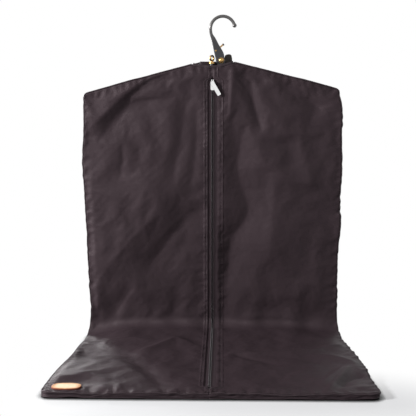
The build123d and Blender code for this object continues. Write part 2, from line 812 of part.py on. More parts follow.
# ---------------------------------------------------------------- hook and its pivot
with BuildPart() as hook:
    crown_start = (crown_x - crown_radius, crown_z)
    tip_middle = (
        crown_x + crown_radius * cos(radians(tip_angle)),
        crown_z + crown_radius * sin(radians(tip_angle)),
    )
    with BuildSketch(mid) as front_view:
        with BuildLine():
            left_edge = Spline(
                at_pivot(crown_start[0] - wire_radius, crown_z),
                at_pivot(*shank_left_high),
                at_pivot(*shank_left_low),
                at_pivot(-foot_left, -foot_drop),
                tangents=((0, -1), (0, -1)),
            )
            Line(at_pivot(-foot_left, -foot_drop), at_pivot(foot_right, -foot_drop))
            right_edge = Spline(
                at_pivot(foot_right, -foot_drop),
                at_pivot(*shank_right_low),
                at_pivot(*shank_right_middle),
                at_pivot(*shank_right_high),
                at_pivot(crown_start[0] + wire_radius, crown_z),
                tangents=((0, 1), (0, 1)),
            )
            Line(right_edge @ 1, left_edge @ 0)
        make_face()
        fillet(front_view.vertices().group_by(Axis.Z)[0], foot_rounding)
    extrude(amount=shank_depth, both=True)
    with BuildSketch(Plane.YZ.offset(hook_x)) as side_view:
        with BuildLine():
            half = shank_depth / 2
            Polyline(
                (hanger_y - half, pivot_height - foot_drop),
                (hanger_y - half, pivot_height + taper_foot),
                (hanger_y - wire_radius, pivot_height + crown_z),
                (hanger_y + wire_radius, pivot_height + crown_z),
                (hanger_y + half, pivot_height + taper_foot),
                (hanger_y + half, pivot_height - foot_drop),
                close=True,
            )
        make_face()
    extrude(amount=bag_width, both=True, mode=Mode.INTERSECT)
    long_edges = [e for e in hook.edges() if e.center().Z > pivot_height and e.length > wire_radius * 3]
    fillet(long_edges, shank_rounding)
    with BuildLine(mid):
        crown = ThreePointArc(
            at_pivot(*crown_start),
            at_pivot(crown_x, crown_z + crown_radius),
            at_pivot(*tip_middle),
        )
    with BuildSketch(Plane(crown @ 0, z_dir=crown % 0)):
        Circle(wire_radius)
    sweep(path=crown)
    with Locations((hook_x + tip_middle[0], hanger_y, pivot_height + tip_middle[1])):
        Sphere(tip_radius)
    with Locations((hook_x, hanger_y, pivot_height + (slot_height - foot_drop) / 2)):
        Box(bag_width, fork_slot, slot_height + foot_drop, mode=Mode.SUBTRACT)
    with BuildSketch(mid):
        with Locations(at_pivot(0, 0)):
            Circle(pivot_radius)
        with Locations(at_pivot(lever_x, lever_z)):
            Circle(lever_pin_radius)
    extrude(amount=shank_depth, both=True, mode=Mode.SUBTRACT)
write(hook, "hook")

hook_front = hanger_y - shank_depth / 2
hook_back = hanger_y + shank_depth / 2

with BuildPart() as pivot_washer:
    with BuildSketch(Plane.XZ.offset(-hook_front)):
        with Locations(at_pivot(0, 0)):
            Circle(washer_radius)
            Circle(pivot_radius, mode=Mode.SUBTRACT)
    extrude(amount=washer)
write(pivot_washer, "pivot_washer")

dome_foot = hook_front - washer
dome_curve = (dome_radius**2 + dome_height**2) / (2 * dome_height)
with BuildPart() as hook_pivot_pin:
    with Locations((hook_x, dome_foot - dome_height + dome_curve, pivot_height)):
        Sphere(dome_curve)
    add(
        span(
            (hub_left, dome_foot - 2 * dome_height, hub_top),
            (hub_right, dome_foot, tall),
        ),
        mode=Mode.INTERSECT,
    )
    with BuildSketch(Plane.XZ.offset(-dome_foot)):
        with Locations(at_pivot(0, 0)):
            Circle(pivot_radius)
    extrude(amount=-(hook_back + cap_height / 2 - dome_foot))
write(hook_pivot_pin, "hook_pivot_pin")

with BuildPart() as pivot_cap:
    with BuildSketch(Plane.XZ.offset(-hook_back)):
        with Locations(at_pivot(0, 0)):
            Circle(cap_radius)
    extrude(amount=-cap_height)
    add(hook_pivot_pin.part, mode=Mode.SUBTRACT)
write(pivot_cap, "pivot_cap")

# ---------------------------------------------------------------- release lever in the fork's slot
lever_plane = Plane(
    (hook_x + lever_x, hanger_y, pivot_height + lever_z),
    x_dir=(cos(radians(lever_rise)), 0, sin(radians(lever_rise))),
    z_dir=(0, -1, 0),
)
toe_reach = hypot(lever_x, lever_z) - tongue_radius - toe_gap
with BuildPart() as release_lever:
    with BuildSketch(lever_plane):
        Circle(lever_boss_radius)
        with Locations((lever_reach / 2, 0)):
            Rectangle(lever_reach, lever_width)
        with Locations((lever_toe, 0)):
            Rectangle(lever_width, toe_reach, align=(Align.CENTER, Align.MAX))
        Circle(lever_pin_radius + fine_gap, mode=Mode.SUBTRACT)
    extrude(amount=lever_depth / 2, both=True)
write(release_lever, "release_lever")

with BuildPart() as lever_cap:
    with Locations(lever_plane * Location((lever_reach, 0, 0), (0, 90, 0))):
        Cylinder(lever_cap_radius, lever_cap_length, align=(Align.CENTER, Align.CENTER, Align.MIN))
write(lever_cap, "lever_cap")

with BuildPart() as lever_pin:
    with BuildSketch(mid):
        with Locations(at_pivot(lever_x, lever_z)):
            Circle(lever_pin_radius)
    extrude(amount=shank_depth / 2, both=True)
    for face, way in ((hook_front, 1), (hook_back, -1)):
        with BuildSketch(Plane.XZ.offset(-face)):
            with Locations(at_pivot(lever_x, lever_z)):
                Circle(lever_pin_head_radius)
        extrude(amount=way * lever_pin_head)
write(lever_pin, "lever_pin")

# ---------------------------------------------------------------- strap eye beside the hook
with BuildPart() as eye_collar:
    with BuildSketch(Plane.XY.offset(flange_foot)):
        with Locations((eye_x, hanger_y)):
            Circle(flange_radius)
            Circle(stem_radius + fine_gap, mode=Mode.SUBTRACT)
    extrude(amount=flange_height)
write(eye_collar, "eye_collar")

eye_normal = (sin(radians(eye_turn)), -cos(radians(eye_turn)), 0)
eye_plane = Plane((eye_x, hanger_y, eye_middle), x_dir=(0, 0, 1), z_dir=eye_normal)
stem_foot = hub_foot - running_gap - nut_height
with BuildPart() as strap_eye:
    with BuildSketch(Plane.XY.offset(stem_foot)):
        with Locations((eye_x, hanger_y)):
            Circle(stem_radius)
    extrude(amount=eye_middle - eye_radius - stem_foot + eye_depth / 2)
    with Locations(eye_plane):
        Cylinder(eye_radius, eye_depth)
        Cylinder(eye_bore_radius, eye_depth, mode=Mode.SUBTRACT)
write(strap_eye, "strap_eye")

with BuildPart() as eye_nut:
    with BuildSketch(Plane.XY.offset(stem_foot)):
        with Locations((eye_x, hanger_y)):
            RegularPolygon(nut_radius, 6)
            Circle(stem_radius, mode=Mode.SUBTRACT)
    extrude(amount=nut_height)
write(eye_nut, "eye_nut")
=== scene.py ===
# %% [markdown]
# # A nylon garment bag on its hanger
# The bag is a long flat sack of thin nylon. Its upper part hangs from a hanger, and its lower part lies forward
# on the floor. Everything here is dressed over a solid frame that already has the right sizes, so the work is
# mostly cloth: panels that buckle, seams that pucker, a zip, and a little metal and leather.

# %% Load the frame
import json
import math
from functools import partial

import bpy
import numpy as np
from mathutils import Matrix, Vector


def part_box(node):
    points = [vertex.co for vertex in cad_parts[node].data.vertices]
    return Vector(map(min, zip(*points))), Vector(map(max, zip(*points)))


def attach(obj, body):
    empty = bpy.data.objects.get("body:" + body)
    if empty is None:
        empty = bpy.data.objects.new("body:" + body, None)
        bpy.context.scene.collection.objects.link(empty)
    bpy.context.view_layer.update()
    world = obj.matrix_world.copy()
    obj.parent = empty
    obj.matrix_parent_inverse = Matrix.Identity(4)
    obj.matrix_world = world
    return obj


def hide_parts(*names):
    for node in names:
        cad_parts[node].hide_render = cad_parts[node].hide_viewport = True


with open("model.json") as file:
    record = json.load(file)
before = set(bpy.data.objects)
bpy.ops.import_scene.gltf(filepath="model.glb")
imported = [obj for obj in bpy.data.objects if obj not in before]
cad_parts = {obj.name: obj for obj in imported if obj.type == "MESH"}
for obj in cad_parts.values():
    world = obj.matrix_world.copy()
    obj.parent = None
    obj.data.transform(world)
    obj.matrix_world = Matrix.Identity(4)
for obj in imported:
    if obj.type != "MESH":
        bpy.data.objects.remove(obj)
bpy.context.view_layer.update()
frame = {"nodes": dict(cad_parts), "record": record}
mm = 0.001
sides = ("left", "right")

# %% [markdown]
# ## Camera
# The bag is seen from the front, from a little above its middle, through a mildly long lens.

# %% Camera
eye = bpy.data.objects.new("camera", bpy.data.cameras.new("camera"))
bpy.context.scene.collection.objects.link(eye)
eye.location = (0.0249, -1.4977, 0.4658)
eye.rotation_euler = (math.radians(90 - 5.43), 0, math.radians(1.12))
eye.data.lens = 63.46
eye.data.sensor_width = 36
bpy.context.scene.camera = eye

# %% [markdown]
# ## Sizes shared by the cloth
# The side view of the bag is a letter L with a round inner corner. Every cloth piece is a function of two
# numbers: x, across the bag, and run, the distance up the cloth from the bottom hem. The frame's own boxes give
# the outer sizes. The cloth folds from lying to hanging at about fold_run.

# %% Sizes
piping_low, piping_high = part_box("back_piping_left")
half_width = -piping_low.x
hem_y = piping_low.y - 4 * mm
back_y = piping_high.y
seam_inset = 3.5 * mm
front_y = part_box("front_piping_left")[1].y - seam_inset
hem_depth = 12 * mm
fold_depth = 24 * mm
front_radius = 25 * mm
back_radius = 16 * mm
fold_run = 0.42
tip_radius = 7 * mm
hem_corner = 14 * mm
hanger_x, hanger_reach = 10 * mm, 215 * mm
neck_low, neck_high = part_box("neck_binding_back")
neck_left, neck_right = neck_low.x, neck_high.x
neck_top = neck_high.z
neck_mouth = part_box("neck_binding_front")[0].x
neck_dip = 10.5 * mm
shoulder_height = {"left": 569 * mm, "right": 579 * mm}
slider_low, slider_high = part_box("zip_slider")
zip_x = (slider_low.x + slider_high.x) / 2
zip_top = 600 * mm
zip_end = hem_y + 28 * mm
opening = 11.4 * mm
patch_low, patch_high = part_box("leather_patch")
patch_middle = ((patch_low.x + patch_high.x) / 2, (patch_low.y + patch_high.y) / 2)
patch_size = (patch_high.x - patch_low.x, patch_high.y - patch_low.y)
print("bag", round(2 * half_width, 3), "wide,", round(back_y - hem_y, 3), "deep, neck at", round(neck_top, 3))


# %% The side view
def smooth(share):
    """A share held between nought and one, and eased at both ends: share^2 * (3 - 2 * share)."""
    share = np.clip(share, 0, 1)
    return share * share * (3 - 2 * share)


def over_bag(x, side_view):
    """Points or directions in space, from their x and their (y, z) in the side view."""
    return np.concatenate([(x + 0 * side_view[..., 0])[..., None], side_view], -1)


def bend(start, corner, radius):
    """Path that runs straight from start, rounds a corner with an arc and goes straight up.

    Returns its function: run -> (y, z, normal y, normal z), with the normal on the left of the way it goes.
    """
    start, corner = np.array(start), np.array(corner)
    along = (corner - start) / np.hypot(*(corner - start))
    turn = math.pi / 2 - math.atan2(along[1], along[0])
    cut = radius * math.tan(turn / 2)
    straight = np.hypot(*(corner - start)) - cut
    left = np.array([-along[1], along[0]])
    centre = start + along * straight + left * radius
    arc = radius * turn

    def at(run):
        run = np.asarray(run, float)
        angle = np.clip((run - straight) / radius, 0, turn)
        tangent = np.stack([np.cos(angle) * along[0] - np.sin(angle) * along[1],
                            np.sin(angle) * along[0] + np.cos(angle) * along[1]], -1)
        normal = np.stack([-tangent[..., 1], tangent[..., 0]], -1)
        point = centre - normal * radius
        point = point + tangent * (np.minimum(run - straight, 0) + np.maximum(run - straight - arc, 0))[..., None]
        return point, normal

    return at, straight + arc - (corner[1] + cut)


front_path, front_rise = bend((hem_y, hem_depth), (front_y, fold_depth), front_radius)
back_path, back_rise = bend((hem_y, 0), (back_y, 0), back_radius)
print("cloth runs", round(neck_top + front_rise, 3), "m from hem to neck at the front")


# %% [markdown]
# ## The outline
# The top edge slopes from the neck to two tips that hang at slightly different heights, since the hanger is
# never quite level. The tips and the corners of the hem are rounded.

# %% Outline
def round_off(gap, radius):
    """How much a rounded corner takes off at a distance gap from the side."""
    inside = np.clip(radius - gap, 0, radius)
    return radius - np.sqrt(np.maximum(radius**2 - inside**2, 0))


def top_height(x, dip=0.0, inset=0.0):
    """Height of the top edge at x: level at the neck, then straight down to each shoulder tip."""
    x = np.asarray(x, float)
    tip = np.where(x < 0, shoulder_height["left"], shoulder_height["right"])
    neck = np.where(x < 0, -neck_left, neck_right)
    slope = (neck_top - tip) / (half_width - neck)
    past = np.clip(np.abs(x) - neck, 0, None)
    level = neck_top - slope * past
    if dip:
        mouth = neck_top - (neck_top - shoulder_height["left"]) / (half_width + neck_left) * (neck_left - neck_mouth)
        share = np.clip((x - neck_mouth) / (neck_right - neck_mouth), 0, 1)
        chord = mouth + (neck_top - mouth) * share
        sag = dip - (neck_top - mouth) / 2
        level = np.where((x > neck_mouth) & (x < neck_right), chord - 4 * sag * share * (1 - share), level)
    corner = round_off(half_width - inset - np.abs(x), tip_radius)
    return level - corner - inset * np.hypot(1, slope)


def hem_run(x, inset=0.0):
    """Run at which the cloth starts: nothing, but for the rounded corners of the hem."""
    return inset + round_off(half_width - inset - np.abs(np.asarray(x, float)), hem_corner)


# %% [markdown]
# The bag isn't a plain rectangle. Empty cloth hangs a little narrower where nothing spreads it, and spreads where
# it lies. The reach is how far each side gets from the middle, by the distance up the cloth, in millimetres.

# %% Reach of the sides
reach_of = {
    "left": ((0, 305), (120, 300), (220, 287), (300, 288), (410, 292), (500, 287), (700, 295), (820, 300), (970, 296)),
    "right": ((0, 312), (130, 308), (290, 299), (350, 296), (410, 298), (450, 295), (600, 297), (820, 302),
              (930, 299), (980, 293)),
}


def spread(x, run, rise):
    """x moved with its side: by all of the side's shift at the seam, less inwards, nothing near the middle."""
    up = run - (rise - fold_run) * np.clip((run - 0.38) / 0.06, 0, 1)
    shift = {}
    for side, table in reach_of.items():
        place, reach = np.array(table).T * mm
        near = [np.interp(up + step, place, reach) for step in (-0.03, -0.01, 0.01, 0.03)]
        shift[side] = sum(near) / len(near) - half_width
    return x + np.where(x < 0, -shift["left"], shift["right"]) * smooth((np.abs(x) - 0.1) / 0.2)


# %% [markdown]
# ## Making a mesh from a grid
# All soft pieces are grids of points. One helper turns a grid into a mesh, joins its edges where it closes, and
# stores the cloth's own flat coordinates as a UV map, in metres, so that a weave keeps its size.

# %% Grid mesh
def shown(name, points, faces, flip=False):
    """New object with a smooth mesh; flip turns its faces round."""
    mesh = bpy.data.meshes.new(name)
    mesh.from_pydata(points.reshape(-1, 3).tolist(), [], [f[::-1] for f in faces] if flip else faces)
    mesh.shade_smooth()
    made = bpy.data.objects.new(name, mesh)
    bpy.context.scene.collection.objects.link(made)
    return made


def surface(name, points, closed=False, flat=None, flip=False):
    """Mesh through a grid of points (rows, columns, 3). closed joins the last column to the first and adds ends."""
    rows, columns = points.shape[:2]
    index = np.arange(rows * columns).reshape(rows, columns)
    faces_of = np.concatenate([index, index[:, :1]], 1) if closed else index
    quads = np.stack([faces_of[:-1, :-1], faces_of[:-1, 1:], faces_of[1:, 1:], faces_of[1:, :-1]], -1)
    ends = [index[0, ::-1].tolist(), index[-1].tolist()] if closed else []
    made = shown(name, points, quads.reshape(-1, 4).tolist() + ends, flip)
    if flat is not None:
        corner = np.zeros(len(made.data.loops), int)
        made.data.loops.foreach_get("vertex_index", corner)
        layer = made.data.uv_layers.new(name="cloth")
        layer.data.foreach_set("uv", flat.reshape(-1, 2)[corner].ravel())
    return made


def unit(vectors):
    """Vectors brought to length one."""
    return vectors / np.maximum(np.linalg.norm(vectors, axis=-1, keepdims=True), 1e-12)


def length_along(path):
    """Distance of each point from the start of its path."""
    return np.concatenate([[0], np.cumsum(np.linalg.norm(np.diff(path, axis=0), axis=1))])


def read_at(places, run, values):
    """Each column of values, known at run, read at the places between."""
    return np.stack([np.interp(places, run, column) for column in values.T], -1)


def resample(path, step):
    """The same path with its points an even step apart."""
    run = length_along(path)
    return read_at(np.linspace(0, run[-1], max(int(run[-1] / step), 2) + 1), run, path)


def circle(side, over, sides):
    """Ring of unit vectors in the plane of side and over, at each place that they are given for."""
    turn = np.linspace(0, 2 * math.pi, sides, endpoint=False)
    return side[..., None, :] * np.cos(turn)[:, None] + over[..., None, :] * np.sin(turn)[:, None]


def tube(name, path, radius, up):
    """Round tube along a path; up is a vector that keeps its rings from twisting."""
    along = unit(np.gradient(path, axis=0))
    side = unit(np.cross(along, up))
    ring = circle(side, np.cross(side, along), 10)
    return surface(name, path[:, None] + radius * ring, closed=True, flip=True)


def short_tubes(name, lines, side, over, radius, flip):
    """Many short tubes in one mesh, along lines (tubes, points, 3), with a radius for each point."""
    points = lines[:, :, None] + circle(side, over, 5) * radius[None, :, None, None]
    index = np.arange(points.size // 3).reshape(points.shape[:3])
    nexts = np.roll(index, -1, 2)
    quads = np.stack([index[:, :-1], nexts[:, :-1], nexts[:, 1:], index[:, 1:]], -1).reshape(-1, 4).tolist()
    return shown(name, points, quads + index[:, 0, ::-1].tolist() + index[:, -1].tolist(), flip)


# %% [markdown]
# ## How the cloth buckles
# Thin nylon hardly stretches. When a panel is a little larger than the seams that hold it, it has to buckle, and
# that makes soft hollows and sharp little creases. So each panel is a net of points. Folds left from packing are
# pressed into it first. Then the net grows by a few parts in a thousand, more along the seams, its edges are
# held, and neighbours push and pull each other until their distances are right again.

# %% Net of points
links = ((0, 1, 1.0), (1, 0, 1.0), (1, 1, 0.5), (1, -1, 0.5), (0, 2, 0.15), (2, 0, 0.15))


def pairs(array, down, over):
    """The two views of a grid whose entries are neighbours, down rows and over columns apart."""
    rows, columns = array.shape[:2]
    if over >= 0:
        return array[: rows - down, : columns - over], array[down:, over:]
    return array[: rows - down, -over:], array[down:, : columns + over]


def settle(points, shape, growth, normal, low, high, rounds):
    """Lets a net find its rest: distances of shape times growth, offset from shape kept in low to high.

    The net's own edges are held on the shape.
    """
    free = np.ones(points.shape[:2])
    free[[0, -1]] = 0
    free[:, [0, -1]] = 0
    points[free == 0] = shape[free == 0]
    before = points.copy()
    rest = []
    for down, over, _ in links:
        one, two = pairs(shape, down, over)
        more_one, more_two = pairs(growth, down, over)
        rest.append(np.linalg.norm(two - one, axis=-1) * (more_one + more_two) / 2)
    weight = free[..., None]
    for _ in range(rounds):
        speed = (points - before) * 0.9
        before = points.copy()
        points = points + weight * speed
        for (down, over, firm), length in zip(links, rest):
            one, two = pairs(points, down, over)
            hold_one, hold_two = pairs(weight, down, over)
            gap = two - one
            size = np.linalg.norm(gap, axis=-1)
            share = 0.5 * firm * (size - length) / np.maximum(size, 1e-9)
            move = gap * (share / np.maximum(hold_one + hold_two, 1)[..., 0])[..., None]
            one += move * hold_one
            two -= move * hold_two
        off = ((points - shape) * normal).sum(-1)
        points += normal * ((np.clip(off, low, high) - off) * free)[..., None]
    return points


def drape(tall, wide, steps, give, net_of):
    """Settles a panel tall by wide millimetres: a coarse net first, then finer ones that go on from it.

    steps are pairs of a step in millimetres and its rounds. net_of gives a net from its rows, columns and step:
    flat coordinates, rest shape, normals, growth, the offset's room to both sides, and a nudge that starts the
    buckling. No point moves further than give off the rest shape.
    """
    points = None
    for step, rounds in steps:
        rows, columns = int(tall / step), int(wide / step)
        flat, shape, normal, growth, low, high, nudge = net_of(rows, columns, step)
        points = (shape if points is None else finer(points - wide_shape, rows, columns) + shape) + nudge
        points = settle(points, shape, growth, normal, np.clip(low, -give, 0), np.clip(high, 0, give), rounds)
        wide_shape = shape
    return points, flat, normal


def finer(grid, rows, columns):
    """A grid read at more rows and columns, with straight lines between its points."""
    down = np.linspace(0, grid.shape[0] - 1, rows)
    over = np.linspace(0, grid.shape[1] - 1, columns)
    i, j = np.minimum(down.astype(int), grid.shape[0] - 2), np.minimum(over.astype(int), grid.shape[1] - 2)
    a, b = (down - i)[:, None, None], (over - j)[None, :, None]
    near = grid[i][:, j] * (1 - b) + grid[i][:, j + 1] * b
    far = grid[i + 1][:, j] * (1 - b) + grid[i + 1][:, j + 1] * b
    return near * (1 - a) + far * a


# %% [markdown]
# ## Folds pressed into the cloth
# A fold is a line on the flat cloth with a depth. Its profile falls away on each side at its own width, and a
# low power makes the line a crease, while a power of two makes it a soft swell.

# %% Folds
def rounded(path):
    """The same path with its corners cut off twice, so that a fold bends gently."""
    path = np.array(path, float)
    for _ in range(2):
        near, far = path[:-1] * 0.75 + path[1:] * 0.25, path[:-1] * 0.25 + path[1:] * 0.75
        path = np.concatenate([path[:1], np.stack([near, far], 1).reshape(-1, 2), path[-1:]])
    return path


def press(x, up, path, depth, left, right, power):
    """Offset of one fold: depth * exp(-(distance / width) ** power), fading out towards both its ends.

    Each side of the path has its own width. Where two stretches of the path are about as near, their sides and
    places along the fold are mixed, weight exp(-distance / 6 mm), so that the fold shows no seam there.
    """
    path = rounded(path) * mm
    along = np.concatenate([[0], np.cumsum(np.hypot(*np.diff(path, axis=0).T))])
    nearest, total, side, place = np.full(x.shape, 9.0), 1e-300, 0.0, 0.0
    for (x0, z0), (x1, z1), begin, end in zip(path[:-1], path[1:], along[:-1], along[1:]):
        dx, dz = x1 - x0, z1 - z0
        share = np.clip(((x - x0) * dx + (up - z0) * dz) / (dx**2 + dz**2), 0, 1)
        away_x, away_z = x - x0 - share * dx, up - z0 - share * dz
        distance = np.hypot(away_x, away_z)
        nearest = np.minimum(nearest, distance)
        weight = np.exp(-distance / (6 * mm))
        total = total + weight
        side = side + weight * (dx * away_z - dz * away_x) / (end - begin)
        place = place + weight * (begin + share * (end - begin))
    blend = 0.5 + 0.5 * np.tanh(side / total / (5 * mm))
    width = (left * blend + right * (1 - blend)) * mm
    place = place / total / along[-1]
    taper = smooth(np.minimum(place, 1 - place) * 4)
    soft = np.sqrt(nearest**2 + (1.2 * mm) ** 2)
    return taper * depth * mm * np.exp(-((soft / width) ** power))


def ripple(x, run, wave, seed):
    """Soft noise: two dozen plane waves of about one length, in all directions."""
    draw = np.random.default_rng(seed)
    total = np.zeros_like(x)
    for _ in range(24):
        angle, phase = draw.uniform(0, 2 * math.pi, 2)
        size = 2 * math.pi / (wave * draw.uniform(0.7, 1.5))
        total += np.sin(size * (x * math.cos(angle) + run * math.sin(angle)) + phase)
    return total / math.sqrt(12)


def pucker(gap, run, reach, wave, seed):
    """Short creases that run away from a seam: noise along the seam, fading with the gap from it."""
    return ripple(run + 0.25 * gap, gap * 0.15, wave, seed) * np.exp(-np.maximum(gap, 0) / reach)


# Each fold: its path as (x, height) in millimetres, or (x, y) where the cloth lies, then its depth, its width to
# the left and to the right of the path, and its power.
hanging_folds = {
    "left": (
        (((-96, 634), (-138, 596), (-184, 550), (-221, 508), (-248, 478), (-259, 462), (-254, 446)), -9, 64, 24, 1.4),
        (((-118, 632), (-176, 590), (-230, 542), (-284, 490), (-302, 470)), 4.5, 14, 30, 1.6),
        (((-95, 625), (-116, 609), (-146, 577), (-158, 556)), -3.5, 14, 10, 1.5),
        (((-203, 465), (-208, 442), (-204, 415), (-212, 392), (-209, 370)), -2.2, 10, 8, 1.4),
        (((-50, 610), (-58, 550), (-70, 470), (-88, 385), (-92, 340)), -5, 26, 22, 1.5),
        (((-34, 570), (-34, 520), (-37, 430), (-50, 330)), -3, 12, 12, 1.6),
        (((-152, 420), (-149, 352), (-137, 321), (-143, 292), (-166, 258), (-191, 230), (-229, 190), (-268, 145),
          (-300, 110)), 9.5, 56, 110, 1.15),
        (((-10, 330), (-50, 290), (-100, 225), (-150, 163), (-178, 125)), -6, 84, 32, 1.25),
        (((-185, 128), (-205, 100), (-232, 62), (-245, 45)), -3.5, 12, 50, 1.3),
        (((-168, 138), (-190, 108), (-222, 65), (-235, 48)), 1.5, 40, 10, 1.3),
        (((-284, 138), (-282, 100), (-277, 60)), 4, 20, 10, 1.5),
    ),
    "right": (
        (((69, 550), (69, 510), (68, 447), (58, 400), (72, 350), (90, 300), (69, 260), (47, 235), (40, 190),
          (36, 120), (34, 50)), -11, 70, 40, 1.15),
        (((22, 560), (23, 480), (23, 300), (23, 60)), 3, 16, 10, 2),
        (((66, 560), (97, 458), (126, 401), (149, 361), (143, 307), (137, 200), (135, 110)), 8, 60, 44, 1.3),
        (((50, 660), (47, 600), (40, 540), (36, 490)), 4, 12, 14, 1.6),
        (((70, 650), (80, 610), (97, 545), (106, 510), (123, 465)), -6.5, 14, 12, 1.3),
        (((90, 645), (105, 610), (126, 588)), -5, 10, 10, 1.3),
        (((160, 612), (190, 585), (212, 562), (270, 522)), -7, 12, 18, 1.2),
        (((172, 475), (178, 440), (182, 410), (185, 385)), -4.5, 28, 26, 2),
        (((190, 490), (200, 460), (212, 418), (232, 361), (236, 330)), 2.6, 18, 20, 1.6),
        (((140, 398), (155, 390), (183, 367), (232, 361), (250, 362)), 2.5, 12, 18, 1.3),
        (((18, 42), (60, 45), (136, 49), (227, 43), (310, 32)), 2, 10, 12, 1.5),
    ),
}
lying_folds = {
    "left": (
        (((-306, -12), (-270, -6), (-229, 0), (-170, -6), (-130, -12)), -8, 70, 36, 1.4),
        (((-330, -195), (-290, -178), (-230, -137), (-158, -95), (-120, -75)), 8, 80, 30, 1.3),
        (((-335, 78), (-273, 84), (-192, 102), (-137, 97), (-105, 94)), 2.5, 8, 10, 1.4),
        (((-185, -12), (-170, -6), (-129, 22), (-97, 68), (-80, 98), (-66, 88), (-32, 51), (-20, 42)),
         5, 14, 20, 1.2),
        (((-120, -110), (-55, -108), (-17, -92)), 2.5, 8, 8, 1.4),
        (((-80, -235), (-74, -226), (-58, -203), (-23, -202), (-12, -193)), 3.5, 8, 10, 1.3),
        (((-250, -140), (-224, -146), (-192, -169), (-180, -178)), 2.5, 8, 8, 1.4),
        (((-193, -183), (-183, -238)), 3, 8, 8, 1.4),
        (((-165, -178), (-158, -238)), 2.5, 8, 8, 1.4),
        (((-215, -190), (-212, -238)), -3, 8, 8, 1.4),
        (((-175, -50), (-160, -64), (-117, -102), (-75, -213), (-70, -232)), -3, 20, 20, 1.6),
    ),
    "right": (
        (((8, -48), (19, -37), (48, 2), (94, -7), (218, 16), (244, 37), (295, 59), (320, 66)), 3.5, 10, 10, 1.3),
        (((38, 0), (47, -7), (76, -26), (136, -63), (150, -72)), -4, 12, 14, 1.3),
        (((200, -8), (220, -14), (263, -32), (290, -69), (306, -129), (308, -150)), 6, 10, 16, 1.3),
        (((280, -62), (272, -78), (210, -209), (203, -228)), 4.5, 7, 9, 1.3),
        (((265, -70), (261, -78), (204, -179), (195, -195)), 3.5, 6, 7, 1.3),
        (((225, -205), (232, -194), (255, -147), (292, -121), (310, -112)), -6, 10, 10, 1.3),
        (((250, -200), (268, -193), (307, -177), (330, -172)), 3.5, 8, 8, 1.3),
        (((235, 30), (262, 44), (300, 60), (325, 70)), 4, 10, 8, 1.3),
    ),
}


def folds_of(side, x, run):
    """All folds of one front panel: those of the hanging part by height, those of the lying part by depth."""
    total = np.zeros(x.shape)
    for fold in hanging_folds[side]:
        total = total + press(x, run - front_rise, *fold)
    for fold in lying_folds[side]:
        total = total + press(x, run + hem_y, *fold)
    return total


# %% [markdown]
# ## Front panels
# The front is two panels with the zip between them. Each grid runs from the side seam to the edge of the zip
# opening, and from the hem to the sloping shoulder. The seams themselves are a little wavy, since thread always
# draws thin cloth in.

# %% Panel grid
def zip_edge(run):
    """Half the zip opening at a run: open along the zip, closed above its top and below its end."""
    above = 1 / (1 + np.exp((run - (zip_top + front_rise)) / (1.2 * mm)))
    below = 1 / (1 + np.exp(((zip_end - hem_y) - run) / (1.2 * mm)))
    return opening * above * below


def front_grid(side, rows, columns):
    """x and run of each point of one front panel; rows go up and columns go from the seam to the zip."""
    sign = -1 if side == "left" else 1
    share = np.linspace(0, 1, columns)[None, :]
    share = share * (1 - 0.9 * np.exp(-share / 0.03))
    seam = sign * (half_width - seam_inset)
    up = np.linspace(0, 1, rows)[:, None]
    up = up - 0.008 * np.sin(2 * math.pi * up)
    x = seam + (zip_x - seam) * share + 0 * up
    start = hem_run(x, seam_inset)
    stop = top_height(x, neck_dip, seam_inset) + front_rise
    run = start + (stop - start) * up
    edge = zip_x + sign * zip_edge(run)
    x = seam + (edge - seam) * share
    return x, run


def seam_wave(x, run, seed):
    """Waver of a seam, in and out of the cloth's plane: long swings with short puckers on them."""
    return 1.1 * mm * ripple(x, run, 0.11, seed) + 0.45 * mm * ripple(x, run, 0.019, seed + 1)


def edge_shares(x, run, stop):
    """Closeness to the side seam, the zip, the hem and the shoulder: one on the edge, nought 25 mm away."""
    return [np.clip(1 - gap / (25 * mm), 0, 1) for gap in
            (np.abs(np.abs(x) - half_width), np.abs(np.abs(x - zip_x) - opening), run, stop - run)]


def flatness(x, run):
    """How far the front lies below its side view near a side seam, where the bag is folded nearly flat."""
    near = smooth((np.abs(x) - (half_width - 115 * mm)) / (112 * mm))
    reach = np.where(run < 0.395, 0.09, 0.045)
    return near * np.where(x < 0, 17 * mm, 6 * mm) * np.exp(-(((run - 0.395) / reach) ** 2))


def front_bumps(side, seed, x, run, to_seam, to_zip, to_top):
    """How far the cloth stands off its side view: a soft fill, the folds, slow ripples and puckered seams."""
    fill = (1 - np.exp(-to_seam / (60 * mm))) * (1 - np.exp(-to_zip / (60 * mm)))
    fill = fill * (1 - np.exp(-to_top / (50 * mm))) * (1 - np.exp(-run / (50 * mm)))
    brink = (run - front_rise - 70 * mm - 3 * mm * ripple(x, 0 * run, 0.12, seed + 9)) / (34 * mm)
    level = 1.5 * mm + 3 * mm * smooth(brink)
    bump = level * fill + folds_of(side, x, run) + 0.6 * mm * ripple(x, run, 0.12, seed)
    at_bend = np.exp(-(((run - 0.43) / 0.03) ** 2))
    bump = bump + 1.2 * mm * ripple(x, 0.3 * run, 0.06, seed + 6) * at_bend
    bump = bump + 0.3 * mm * pucker(to_seam, run, 16 * mm, 15 * mm, seed + 2)
    return bump + 0.25 * mm * pucker(to_zip, run, 10 * mm, 9 * mm, seed + 4)


